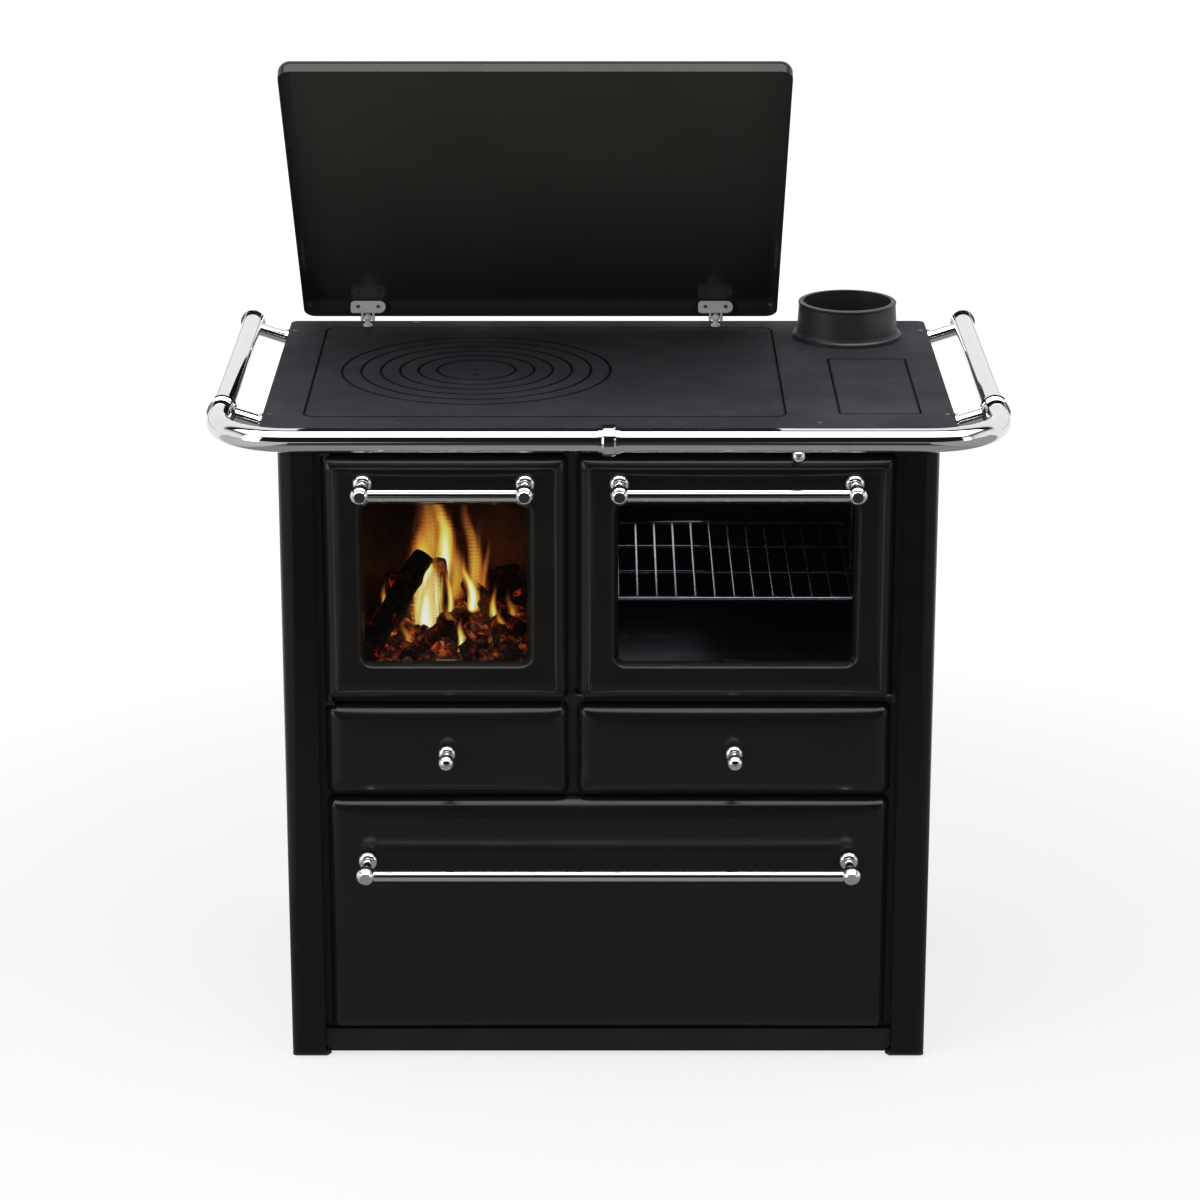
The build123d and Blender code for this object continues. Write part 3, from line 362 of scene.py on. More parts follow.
def makeCastIron(name, look):
    material, tree, shader, place = startMaterial(name, Specular_IOR_Level=look["specular"])
    skin = placeGroup(tree, castGrain, Place=place, Grain=look["grain"], Patches=9.0)
    colour = blendColour(tree, skin["Patch"], look["dark"], look["pale"])
    colour = blendColour(tree, times(tree, skin["Pit"], 0.6), colour, (0.006, 0.006, 0.007, 1))
    if look.get("joints"):
        seams = placeGroup(tree, jointLines, Place=place)
        colour = blendColour(tree, times(tree, seams["Mask"], 0.98), colour,
                             (0.002, 0.002, 0.0025, 1))
    feed(tree, shader.inputs["Base Color"], colour)
    rough = remap(tree, skin["Patch"], 0.0, 1.0, look["roughness"] + 0.08, look["roughness"] - 0.05)
    feed(tree, shader.inputs["Roughness"], rough)
    feed(tree, shader.inputs["Normal"], bumped(tree, skin["Height"], look["relief"]))
    return material


paintLooks = {
    "frame": {"dark": (0.0040, 0.0048, 0.0068, 1), "pale": (0.0062, 0.0072, 0.0098, 1), "roughness": 0.42,
              "peel": 600.0, "relief": 0.00005},
    "feet": {"dark": (0.0110, 0.0113, 0.0125, 1), "pale": (0.0170, 0.0172, 0.0185, 1), "roughness": 0.60,
             "peel": 700.0, "relief": 0.00008},
    "doorInner": {"dark": (0.0120, 0.0120, 0.0125, 1), "pale": (0.0210, 0.0205, 0.0205, 1),
                  "roughness": 0.62,
                  "peel": 800.0, "relief": 0.00008},
    "trays": {"dark": (0.030, 0.031, 0.034, 1), "pale": (0.040, 0.041, 0.044, 1), "roughness": 0.50,
              "peel": 900.0, "relief": 0.00010},
}


def makePaint(name, look):
    material, tree, shader, place = startMaterial(name, Specular_IOR_Level=0.35)
    cloud = noisePattern(tree, place, 7.0, 4.0, 0.6)
    colour = blendColour(tree, remap(tree, cloud, 0.32, 0.68, 0.0, 1.0), look["dark"], look["pale"])
    feed(tree, shader.inputs["Base Color"], colour)
    marks = placeGroup(tree, wipeMarks, Place=place, Amount=0.10, Base=look["roughness"])
    feed(tree, shader.inputs["Roughness"], marks["Roughness"])
    skin = placeGroup(tree, flowSkin, Place=place, Peel=look["peel"], Wave=60.0, PeelShare=1.0)
    feed(tree, shader.inputs["Normal"], bumped(tree, skin["Height"], look["relief"]))
    return material


def makeGalvanised():
    # zinc spangle: flat crystals, each with its own tone
    material, tree, shader, place = startMaterial("galvanisedSheet", Specular_IOR_Level=0.5)
    crystals = cells(tree, place, 120.0)
    tone = tree.nodes.new("ShaderNodeSeparateColor")
    feed(tree, tone.inputs[0], crystals.outputs["Color"])
    edge = cells(tree, place, 120.0, "DISTANCE_TO_EDGE").outputs["Distance"]
    spread = calc(tree, "ADD", times(tree, tone.outputs[0], 0.7),
                  times(tree, noisePattern(tree, place, 260.0, 3.0), 0.3))
    colour = ramp(tree, spread, (0.0, (0.33, 0.34, 0.36)), (1.0, (0.48, 0.49, 0.51)))
    feed(tree, shader.inputs["Base Color"], colour)
    feed(tree, shader.inputs["Metallic"], 0.85)
    feed(tree, shader.inputs["Roughness"], remap(tree, tone.outputs[1], 0.0, 1.0, 0.34, 0.52))
    feed(tree, shader.inputs["Normal"], bumped(tree, remap(tree, edge, 0.0, 0.08, 0.0, 1.0), 0.00006))
    return material


steelLooks = {
    "rolled": {"dark": (0.16, 0.165, 0.17, 1), "pale": (0.27, 0.275, 0.28, 1), "roughness": 0.42,
               "metal": 0.9},
    "fittings": {"dark": (0.34, 0.34, 0.33, 1), "pale": (0.48, 0.475, 0.45, 1), "roughness": 0.28,
                 "metal": 1.0},
}


def makeSteel(name, look):
    material, tree, shader, place = startMaterial(name, Metallic=look["metal"])
    lines = placeGroup(tree, brushLines, Place=place, Spread=(18.0, 900.0, 900.0))
    cloud = noisePattern(tree, place, 11.0, 4.0, 0.6)
    share = calc(tree, "ADD", times(tree, lines["Line"], 0.5),
                 times(tree, cloud, 0.5))
    colour = blendColour(tree, remap(tree, share, 0.35, 0.65, 0.0, 1.0), look["dark"], look["pale"])
    feed(tree, shader.inputs["Base Color"], colour)
    feed(tree, shader.inputs["Roughness"], remap(tree, share, 0.3, 0.7, look["roughness"] + 0.08,
                                                 look["roughness"] - 0.06))
    feed(tree, shader.inputs["Normal"], bumped(tree, lines["Line"], 0.00003))
    return material


def makeHeatedSteel():
    # scaled plate round the fire: brown-black with paler patches of ash bloom
    material, tree, shader, place = startMaterial("heatedSteel", Metallic=0.2, Specular_IOR_Level=0.3)
    skin = placeGroup(tree, castGrain, Place=place, Grain=260.0, Patches=18.0)
    colour = blendColour(tree, skin["Patch"], (0.012, 0.010, 0.009, 1), (0.040, 0.030, 0.024, 1))
    feed(tree, shader.inputs["Base Color"], colour)
    feed(tree, shader.inputs["Roughness"], remap(tree, skin["Patch"], 0.0, 1.0, 0.62, 0.82))
    feed(tree, shader.inputs["Normal"], bumped(tree, skin["Height"], 0.0002))
    return material


chromeLooks = {
    "rail": {"tint": (0.80, 0.80, 0.815, 1), "dull": (0.70, 0.70, 0.71, 1), "roughness": 0.045,
             "marks": 0.05},
    "handles": {"tint": (0.78, 0.78, 0.79, 1), "dull": (0.66, 0.66, 0.67, 1), "roughness": 0.055,
                "marks": 0.06},
    "wire": {"tint": (0.66, 0.66, 0.67, 1), "dull": (0.42, 0.41, 0.40, 1), "roughness": 0.24,
             "marks": 0.14},
    # painted light: the hinge plates' nickel is near-white and barely metallic, so it reads bright in the lid's
    # shade where real nickel would shine by reflection
    "nickel": {"tint": (0.90, 0.89, 0.87, 1), "dull": (0.74, 0.73, 0.70, 1), "roughness": 0.30,
               "marks": 0.10,
               "metal": 0.10},
}


def makeChrome(name, look):
    material, tree, shader, place = startMaterial(name, Metallic=look.get("metal", 1.0))
    marks = placeGroup(tree, wipeMarks, Place=place, Amount=look["marks"], Base=look["roughness"])
    colour = blendColour(tree, times(tree, marks["Marks"], 0.35), look["tint"], look["dull"])
    feed(tree, shader.inputs["Base Color"], colour)
    feed(tree, shader.inputs["Roughness"], marks["Roughness"])
    skin = placeGroup(tree, flowSkin, Place=place, Peel=180.0, Wave=30.0, PeelShare=0.1)
    feed(tree, shader.inputs["Normal"], bumped(tree, skin["Height"], 0.000012))
    return material


def makeFireclay():
    material, tree, shader, place = startMaterial("fireclay", Specular_IOR_Level=0.2)
    skin = placeGroup(tree, castGrain, Place=place, Grain=170.0, Patches=26.0)
    colour = blendColour(tree, skin["Patch"], (0.30, 0.205, 0.135, 1), (0.44, 0.33, 0.23, 1))
    grog = cells(tree, place, 240.0)
    flecks = calc(tree, "LESS_THAN", grog.outputs["Distance"], 0.2)
    colour = blendColour(tree, times(tree, flecks, 0.35), colour, (0.14, 0.10, 0.075, 1))
    film = placeGroup(tree, sootFilm, Place=place, Low=0.50, High=0.66, Ragged=0.16)
    colour = blendColour(tree, remap(tree, film["Mask"], 0.0, 1.0, 0.35, 0.97), colour,
                         (0.011, 0.009, 0.008, 1))
    feed(tree, shader.inputs["Base Color"], colour)
    feed(tree, shader.inputs["Roughness"], 0.9)
    feed(tree, shader.inputs["Normal"], bumped(tree, skin["Height"], 0.0007))
    return material


def makeRope():
    material, tree, shader, place = startMaterial("ropeSeal", Specular_IOR_Level=0.2, Sheen_Weight=0.2)
    grime = noisePattern(tree, place, 45.0, 4.0, 0.6)
    colour = ramp(tree, grime, (0.35, (0.035, 0.034, 0.033)), (0.72, (0.13, 0.128, 0.122)))
    feed(tree, shader.inputs["Base Color"], colour)
    feed(tree, shader.inputs["Roughness"], 0.85)
    fibres = noisePattern(tree, place, 1500.0, 2.0)
    feed(tree, shader.inputs["Normal"], bumped(tree, fibres, 0.0003))
    return material


glassLooks = {
    "fire": {"tint": (0.93, 0.91, 0.88, 1)},
    "oven": {"tint": (0.62, 0.66, 0.74, 1)},
}


def makeGlass(name, look):
    material, tree, shader, place = startMaterial(
        name, Transmission_Weight=1.0, IOR=1.30, Base_Color=look["tint"], Metallic=0.0,
        Specular_IOR_Level=0.35)
    smears = noisePattern(tree, place, 30.0, 4.0, 0.6)
    feed(tree, shader.inputs["Roughness"], remap(tree, smears, 0.5, 0.8, 0.0, 0.02))
    return material


def makeDarkScrew():
    material, tree, shader, place = startMaterial("blackedScrew", Metallic=0.7)
    wear = noisePattern(tree, place, 900.0, 2.0)
    colour = ramp(tree, wear, (0.45, (0.020, 0.020, 0.023)), (0.62, (0.20, 0.20, 0.21)))
    feed(tree, shader.inputs["Base Color"], colour)
    feed(tree, shader.inputs["Roughness"], remap(tree, wear, 0.4, 0.7, 0.5, 0.3))
    return material


finishes = {
    "cast_iron_cooktop": makeCastIron("cooktopIron", castLooks["cooktop"]),
    "cast_iron_collar": makeCastIron("collarIron", castLooks["collar"]),
    "cast_iron_grate": makeCastIron("grateIron", castLooks["grate"]),
    "enamel_fronts": makeEnamel("frontEnamel"),
    # painted shade: the side panels' enamel is the fronts' enamel made darker (tone 0.55), a shaded copy of the
    # same finish
    "enamel_sides": makeEnamel("sideEnamelPaintedDarker", 0.55, 0.18, 0.25),
    # painted light: the lid's enamel is the fronts' enamel made 3.6 times lighter, standing in for light its
    # shaded face does not get
    "enamel_lid": makeEnamel("lidEnamelPaintedLighter", 3.6, 0.2),
    "enamel_oven": makeOvenEnamel(),
    "painted_frame": makePaint("framePaint", paintLooks["frame"]),
    "painted_feet": makePaint("feetPaint", paintLooks["feet"]),
    "galvanised_back": makeGalvanised(),
    "steel_inner": makeSteel("rolledSteel", steelLooks["rolled"]),
    "steel_firebox": makeHeatedSteel(),
    "door_inner": makePaint("stovePaint", paintLooks["doorInner"]),
    "steel_trays": makePaint("trayCoat", paintLooks["trays"]),
    "steel_fittings": makeSteel("zincFittings", steelLooks["fittings"]),
    "fireclay": makeFireclay(),
    "rope_seal": makeRope(),
    "door_glass": makeGlass("ovenGlass", glassLooks["oven"]),
    "chrome_rail": makeChrome("railChrome", chromeLooks["rail"]),
    "chrome_handles": makeChrome("handleChrome", chromeLooks["handles"]),
    "chrome_wire": makeChrome("wireChrome", chromeLooks["wire"]),
    "nickel_hinges": makeChrome("hingeNickelPaintedBright", chromeLooks["nickel"]),
}
darkScrew = makeDarkScrew()
# nodes whose finish differs from the rest of their slot
ownFinishes = {
    "fire_door_glass": makeGlass("fireGlass", glassLooks["fire"]),
    "door_hinge_brackets": finishes["painted_frame"],
}


def dressCadNodes():
    for part in frame["record"]["subparts"]:
        piece = cadNodes[part["node"]]
        material = ownFinishes.get(part["node"], finishes[part["material_slot"]])
        piece.data.materials.clear()
        piece.data.materials.append(material)


dressCadNodes()
print("finishes on the packed nodes")


# helpers for new pieces

def finishPiece(name, bm, material, body, smooth=True, replaces=()):
    # turns a bmesh into a piece at the origin that rides on a body
    bmesh.ops.recalc_face_normals(bm, faces=bm.faces)
    mesh = bpy.data.meshes.new(name)
    bm.to_mesh(mesh)
    bm.free()
    for face in mesh.polygons:
        face.use_smooth = smooth
    piece = bpy.data.objects.new(name, mesh)
    bpy.context.scene.collection.objects.link(piece)
    piece.data.materials.append(material)
    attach(piece, body)
    if replaces:
        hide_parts(*replaces)
    return piece


def axisTurn(direction):
    # a rotation that points local +Z along a direction
    return Vector(direction).to_track_quat("Z", "Y").to_matrix().to_4x4()


lidHinge = Vector(joints["lid_hinge"]["pos_m"])
lidOpen = math.radians(48.0)


def lidTurned(point):
    # from the lid's place when shut to its place half open
    return lidHinge + Matrix.Rotation(-lidOpen, 3, "X") @ (Vector(point) - lidHinge)


# stage

stageLook = {
    "floorSize": 60.0,
    "cameraPlace": (-0.0109, -4.956, 2.161),
    "cameraPitch": 17.82,
    "lens": 117.0,
    # light on matt surfaces
    "ambient": 0.42,
    "floorBounce": 0.80,
    # what gloss and glass see: angles run from the front horizon over the top to the back
    "mirrorDark": 0.010,
    "mirrorPale": 0.95,
    "ceiling": 5.0,
    "ceilingAngles": (44.0, 54.0, 103.0, 109.0),
    "ceilingSides": (0.62, 0.80),
    "backAngles": (120.0, 130.0),
    "sideReach": (0.78, 0.94),
    "floorFront": (0.26, 0.03),
    "floorFrontReach": (1.4, 2.1),
    "floorLeft": 0.55,
    "floorRight": 0.35,
    "floorBack": 0.95,
    # what the camera sees of the floor
    "floorCamera": (0.74, 1.0),
    "floorMatt": 0.30,
}
softboxes = {
    # place, aimed at, width, height, brightness, seen in gloss and through glass
    "topSoftbox": ((-0.15, -0.95, 3.25), (-0.15, -0.94, 0.0), 3.2, 2.7, 1.3, False),
    "fillCard": ((0.0, -2.2, 0.35), (0.0, 0.1, 0.9), 2.4, 0.8, 2.2, False),
    "leftSoftbox": ((-2.6, -1.9, 1.3), (0.0, 0.0, 0.8), 1.2, 1.9, 3.0, True),
    "rightSoftbox": ((2.4, -1.7, 1.2), (0.0, 0.0, 0.8), 0.5, 1.2, 1.6, True),
}


def band(tree, source, angles):
    # one between the inner two angles, nothing outside the outer two
    up = remap(tree, source, math.radians(angles[0]), math.radians(angles[1]), 0.0, 1.0, True)
    down = remap(tree, source, math.radians(angles[2]), math.radians(angles[3]), 1.0, 0.0, True)
    return times(tree, up, down)


def makeWorld(look):
    world = bpy.data.worlds.new("studio")
    bpy.context.scene.world = world
    world.use_nodes = True
    tree = world.node_tree
    tree.nodes.clear()
    output = tree.nodes.new("ShaderNodeOutputWorld")
    path = tree.nodes.new("ShaderNodeLightPath")
    axes = tree.nodes.new("ShaderNodeSeparateXYZ")
    feed(tree, axes.inputs[0], tree.nodes.new("ShaderNodeTexCoord").outputs["Generated"])
    # seen in gloss and through glass: a softbox overhead, pale walls behind and beside, dark in front
    turn = calc(tree, "ARCTAN2", axes.outputs["Z"], times(tree, axes.outputs["Y"], -1.0))
    sideways = calc(tree, "ABSOLUTE", axes.outputs["X"])
    backStart, backEnd = look["backAngles"]
    behind = remap(tree, turn, math.radians(backStart), math.radians(backEnd), 0.0, 1.0, True)
    beside = remap(tree, sideways, *look["sideReach"], 0.0, 1.0, True)
    walls = remap(tree, calc(tree, "MAXIMUM", behind, beside), 0.0, 1.0, look["mirrorDark"],
                  look["mirrorPale"])
    overhead = times(tree, band(tree, turn, look["ceilingAngles"]),
                    remap(tree, sideways, *look["ceilingSides"], look["ceiling"], 0.0, True))
    studio = calc(tree, "MAXIMUM", walls, overhead)
    mirrored = calc(tree, "MAXIMUM", path.outputs["Is Glossy Ray"], path.outputs["Is Transmission Ray"])
    strength = remap(tree, mirrored, 0.0, 1.0, look["ambient"], studio)
    strength = remap(tree, path.outputs["Is Camera Ray"], 0.0, 1.0, strength, 1.0)
    background = tree.nodes.new("ShaderNodeBackground")
    background.inputs["Color"].default_value = (1, 1, 1, 1)
    feed(tree, background.inputs["Strength"], strength)
    tree.links.new(background.outputs[0], output.inputs[0])


def makeFloor(look):
    bm = bmesh.new()
    bmesh.ops.create_grid(bm, x_segments=1, y_segments=1, size=look["floorSize"] / 2)
    mesh = bpy.data.meshes.new("studioFloor")
    bm.to_mesh(mesh)
    bm.free()
    floor = bpy.data.objects.new("studioFloor", mesh)
    bpy.context.scene.collection.objects.link(floor)

    material = bpy.data.materials.new("paleFloor")
    material.use_nodes = True
    tree = material.node_tree
    tree.nodes.clear()
    output = tree.nodes.new("ShaderNodeOutputMaterial")
    path = tree.nodes.new("ShaderNodeLightPath")
    place = tree.nodes.new("ShaderNodeTexCoord").outputs["Object"]
    distance = tree.nodes.new("ShaderNodeVectorMath")
    distance.operation = "LENGTH"
    feed(tree, distance.inputs[0], place)
    axes = tree.nodes.new("ShaderNodeSeparateXYZ")
    feed(tree, axes.inputs[0], place)
    # mirrored floor: grey near the front, dark farther off, paler beside and behind
    front = remap(tree, distance.outputs["Value"], *look["floorFrontReach"], *look["floorFront"], True)
    left = remap(tree, axes.outputs["X"], -1.15, -0.70, look["floorLeft"], 0.0, True)
    right = remap(tree, axes.outputs["X"], 0.70, 1.15, 0.0, look["floorRight"], True)
    back = remap(tree, axes.outputs["Y"], 0.35, 0.70, 0.0, look["floorBack"], True)
    bright = calc(tree, "MAXIMUM", calc(tree, "MAXIMUM", left, right), calc(tree, "MAXIMUM", front, back))
    mirrored = calc(tree, "MAXIMUM", path.outputs["Is Glossy Ray"], path.outputs["Is Transmission Ray"])
    glow = remap(tree, mirrored, 0.0, 1.0, look["floorBounce"], bright)
    seen = remap(tree, distance.outputs["Value"], 0.8, 2.6, *look["floorCamera"], True)
    glow = remap(tree, path.outputs["Is Camera Ray"], 0.0, 1.0, glow, seen)
    emission = tree.nodes.new("ShaderNodeEmission")
    feed(tree, emission.inputs["Strength"], glow)
    diffuse = tree.nodes.new("ShaderNodeBsdfDiffuse")
    matt = times(tree, path.outputs["Is Camera Ray"], look["floorMatt"])
    feed(tree, diffuse.inputs["Color"], matt)
    both = tree.nodes.new("ShaderNodeAddShader")
    tree.links.new(emission.outputs[0], both.inputs[0])
    tree.links.new(diffuse.outputs[0], both.inputs[1])
    tree.links.new(both.outputs[0], output.inputs[0])
    floor.data.materials.append(material)


def addSoftbox(name, place, target, width, height, brightness):
    data = bpy.data.lights.new(name, "AREA")
    data.shape = "RECTANGLE"
    data.size = width
    data.size_y = height
    data.energy = brightness * math.pi * width * height
    lamp = bpy.data.objects.new(name, data)
    bpy.context.scene.collection.objects.link(lamp)
    lamp.location = place
    lamp.rotation_mode = "QUATERNION"
    lamp.rotation_quaternion = (Vector(target) - Vector(place)).to_track_quat("-Z", "Y")
    return lamp


def hideLamp(lamp, mirrored):
    # a lamp inside the stove, seen only in gloss and only where that is asked
    lamp.visible_camera = False
    lamp.visible_transmission = False
    lamp.visible_glossy = mirrored


def makeStage(look):
    makeWorld(look)
    makeFloor(look)
    for name, (*values, mirrored) in softboxes.items():
        lamp = addSoftbox(name, *values)
        lamp.visible_glossy = lamp.visible_transmission = mirrored
    camera = bpy.data.objects.new("photoCamera", bpy.data.cameras.new("photoCamera"))
    bpy.context.scene.collection.objects.link(camera)
    camera.data.sensor_width = 36.0
    camera.data.lens = look["lens"]
    camera.data.clip_start = 0.05
    camera.data.clip_end = 60.0
    camera.location = look["cameraPlace"]
    camera.rotation_euler = (math.radians(90.0 - look["cameraPitch"]), 0.0, 0.0)
    bpy.context.scene.camera = camera
    bpy.context.scene.view_settings.view_transform = "Standard"


makeStage(stageLook)
print("stage, lamps and camera ready")


# enamelled fronts, pressed like shallow cushions

frontLook = {
    "corner": 10 * mm,
    "depth": 20 * mm,
    "edgeDepth": 19 * mm,  # how far the rolled edge turns back
    "rollAtCorner": 15 * mm,
    "rollAtMiddle": 28 * mm,
    "crown": 1.5 * mm,
    "sheet": 2 * mm,
    "mouth": 4 * mm,  # sloping collar round a window
    "collarDepth": 12 * mm,
    "windowCorner": 9 * mm,
    "glassLap": 9 * mm,
    "lip": 7 * mm,
    "dish": 1.4 * mm,  # the face sinks a little towards the window
    "dishReach": 38 * mm,
    "cornerSteps": 9,
    "sideSteps": 44,
    "rollLoops": 16,
    "faceLoops": 16,
    "lipLoops": 6,
}


def insideBy(x, z, box, corner):
    # distance inside a rounded rectangle, negative outside it
    x0, x1, z0, z1 = box
    acrossX = abs(x - (x0 + x1) / 2) - ((x1 - x0) / 2 - corner)
    acrossZ = abs(z - (z0 + z1) / 2) - ((z1 - z0) / 2 - corner)
    return corner - math.hypot(max(acrossX, 0.0), max(acrossZ, 0.0)) - min(max(acrossX, acrossZ), 0.0)


def nearEdges(x, z, box):
    # how near a point lies to the sides and to the top or bottom: 0 in the middle, 1 at the edge
    x0, x1, z0, z1 = box
    return min(abs(2 * x - x0 - x1) / (x1 - x0), 1.0), min(abs(2 * z - z0 - z1) / (z1 - z0), 1.0)


def outlinePoint(box, inset, corner, step):
    # one point of a rounded rectangle: four arcs, with evenly divided sides between them
    look = frontLook
    x0, x1, z0, z1 = box
    radius = max(corner - inset, 0.4 * mm)
    half = ((x1 - x0) / 2 - inset - radius, (z1 - z0) / 2 - inset - radius)
    middle = ((x0 + x1) / 2, (z0 + z1) / 2)
    signs = ((1, 1), (-1, 1), (-1, -1), (1, -1))
    quarter, place = divmod(step, look["cornerSteps"] + look["sideSteps"])

    def onArc(number, share):
        angle = math.radians(90.0 * (number + share))
        signX, signZ = signs[number % 4]
        return (middle[0] + signX * half[0] + radius * math.cos(angle),
                middle[1] + signZ * half[1] + radius * math.sin(angle))

    if place <= look["cornerSteps"]:
        return onArc(quarter, place / look["cornerSteps"])
    share = (place - look["cornerSteps"]) / look["sideSteps"]
    start, end = onArc(quarter, 1.0), onArc(quarter + 1, 0.0)
    return start[0] + (end[0] - start[0]) * share, start[1] + (end[1] - start[1]) * share


def rollWidth(x, z, box):
    # the rolled edge is broad in the middle of a side and tight at the corners
    nearX, nearZ = nearEdges(x, z, box)
    narrow, broad = frontLook["rollAtCorner"], frontLook["rollAtMiddle"]
    return narrow + (broad - narrow) * (1 - (nearX * nearZ) ** 3)


def faceDepth(x, z, box, mouth):
    # how far the skin lies behind the foremost plane
    look = frontLook
    x0, x1, z0, z1 = box
    width = rollWidth(x, z, box)
    leftX = max(0.0, 1.0 - max(min(x - x0, x1 - x), 0.0) / width)
    leftZ = max(0.0, 1.0 - max(min(z - z0, z1 - z), 0.0) / width)
    left = min((leftX ** 3 + leftZ ** 3) ** (1 / 3), 1.0)
    depth = look["edgeDepth"] * (1 - math.sqrt(1 - left * left))
    nearX, nearZ = nearEdges(x, z, box)
    depth += look["crown"] * (1 - (1 - nearX ** 4) * (1 - nearZ ** 4))
    if mouth:
        away = -insideBy(x, z, mouth, look["windowCorner"] + look["mouth"])
        share = min(max(away / look["dishReach"], 0.0), 1.0)
        depth += look["dish"] * (1 - share * share * (3 - 2 * share))
        turned = max(0.0, 1.0 - max(away, 0.0) / look["lip"])
        depth += look["lip"] * (1 - math.sqrt(1 - turned * turned))
    return min(depth, look["depth"])


def growLoop(bm, stepLayer, loop, placeOf):
    # extrudes a closed loop of edges and sets each new point by its step round the outline
    made = bmesh.ops.extrude_edge_only(bm, edges=loop)["geom"]
    fresh = {item for item in made if isinstance(item, bmesh.types.BMVert)}
    for vert in fresh:
        vert.co = placeOf(vert[stepLayer])
    return [item for item in made if isinstance(item,
                                                bmesh.types.BMEdge) and all(v in fresh for v in item.verts)]


def makeCushionFront(node, body, glassNode=None):
    look = frontLook
    low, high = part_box(node)
    face, box = low.y, (low.x, high.x, low.z, high.z)
    window = mouth = None
    if glassNode:
        glassLow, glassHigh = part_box(glassNode)
        lap, slope = look["glassLap"], look["mouth"]
        window = (glassLow.x + lap, glassHigh.x - lap, glassLow.z + lap, glassHigh.z - lap)
        mouth = (window[0] - slope, window[1] + slope, window[2] - slope, window[3] + slope)

    def onOutline(inset, depth):
        def place(step):
            x, z = outlinePoint(box, inset, look["corner"], step)
            return Vector((x, face + depth, z))
        return place

    def onSkin(x, z):
        return Vector((x, face + faceDepth(x, z, box, mouth), z))

    def onRoll(share):
        def place(step):
            edgeX, edgeZ = outlinePoint(box, 0.0, look["corner"], step)
            inset = rollWidth(edgeX, edgeZ, box) * (1 - math.cos(math.radians(90.0 * share)))
            return onSkin(*outlinePoint(box, inset, look["corner"], step))
        return place

    # the face runs in to the mouth of the window, or to a thin line along the middle of a drawer
    if mouth:
        goal, goalInset, goalCorner = mouth, -look["lip"], look["windowCorner"] + look["mouth"]
    else:
        spare = (high.z - low.z) / 2 - 1.5 * mm
        goal, goalInset, goalCorner = (low.x + spare, high.x - spare, low.z + spare,
                                       high.z - spare), 0.0, 1.0 * mm

    def onFace(share):
        def place(step):
            edgeX, edgeZ = outlinePoint(box, 0.0, look["corner"], step)
            start = outlinePoint(box, rollWidth(edgeX, edgeZ, box), look["corner"], step)
            end = outlinePoint(goal, goalInset, goalCorner, step)
            return onSkin(start[0] + (end[0] - start[0]) * share, start[1] + (end[1] - start[1]) * share)
        return place

    bm = bmesh.new()
    stepLayer = bm.verts.layers.int.new("step")
    count = 4 * (look["cornerSteps"] + look["sideSteps"])
    first = onOutline(look["sheet"], look["depth"] - 5 * mm)
    ring = []
    for step in range(count):
        vert = bm.verts.new(first(step))
        vert[stepLayer] = step
        ring.append(vert)
    loop = [bm.edges.new((ring[step - 1], ring[step])) for step in range(count)]
    loop = growLoop(bm, stepLayer, loop, onOutline(look["sheet"], look["depth"]))
    loop = growLoop(bm, stepLayer, loop, onOutline(0.0, look["depth"]))
    for number in range(look["rollLoops"] + 1):
        loop = growLoop(bm, stepLayer, loop, onRoll(number / look["rollLoops"]))
    for number in range(1, look["faceLoops"] + 1):
        loop = growLoop(bm, stepLayer, loop, onFace(number / look["faceLoops"]))
    if mouth:
        for number in range(1, look["lipLoops"] + 1):
            away = look["lip"] * (1 - math.sin(math.radians(90.0 * number / look["lipLoops"])))
            loop = growLoop(bm, stepLayer, loop,
                            lambda step: onSkin(*outlinePoint(mouth, -away, goalCorner, step)))
        for extra in (0.0, look["sheet"]):
            def onCollar(step):
                x, z = outlinePoint(window, -extra, look["windowCorner"], step)
                return Vector((x, face + look["collarDepth"], z))
            loop = growLoop(bm, stepLayer, loop, onCollar)
    else:
        bmesh.ops.contextual_create(bm, geom=loop)
    piece = finishPiece(node + "_skin", bm, finishes["enamel_fronts"], body,
                        replaces=(node,))
    return piece


for nodeName, bodyName, glassName in (
        ("fire_door_front", "fire_door", "fire_door_glass"),
        ("oven_door_front", "oven_door", "oven_door_glass"),
        ("ash_drawer_front", "ash_drawer", None),
        ("pan_drawer_front", "pan_drawer", None),
        ("wood_drawer_front", "wood_drawer", None)):
    makeCushionFront(nodeName, bodyName, glassName)
print("cushion fronts pressed")


# screws

screwLook = {
    "sides": 32,
    "cooktopRadius": 3.6 * mm,
    "hingeRadius": 3.1 * mm,
    "backRadius": 4.6 * mm,
    "backInset": 24 * mm,
}


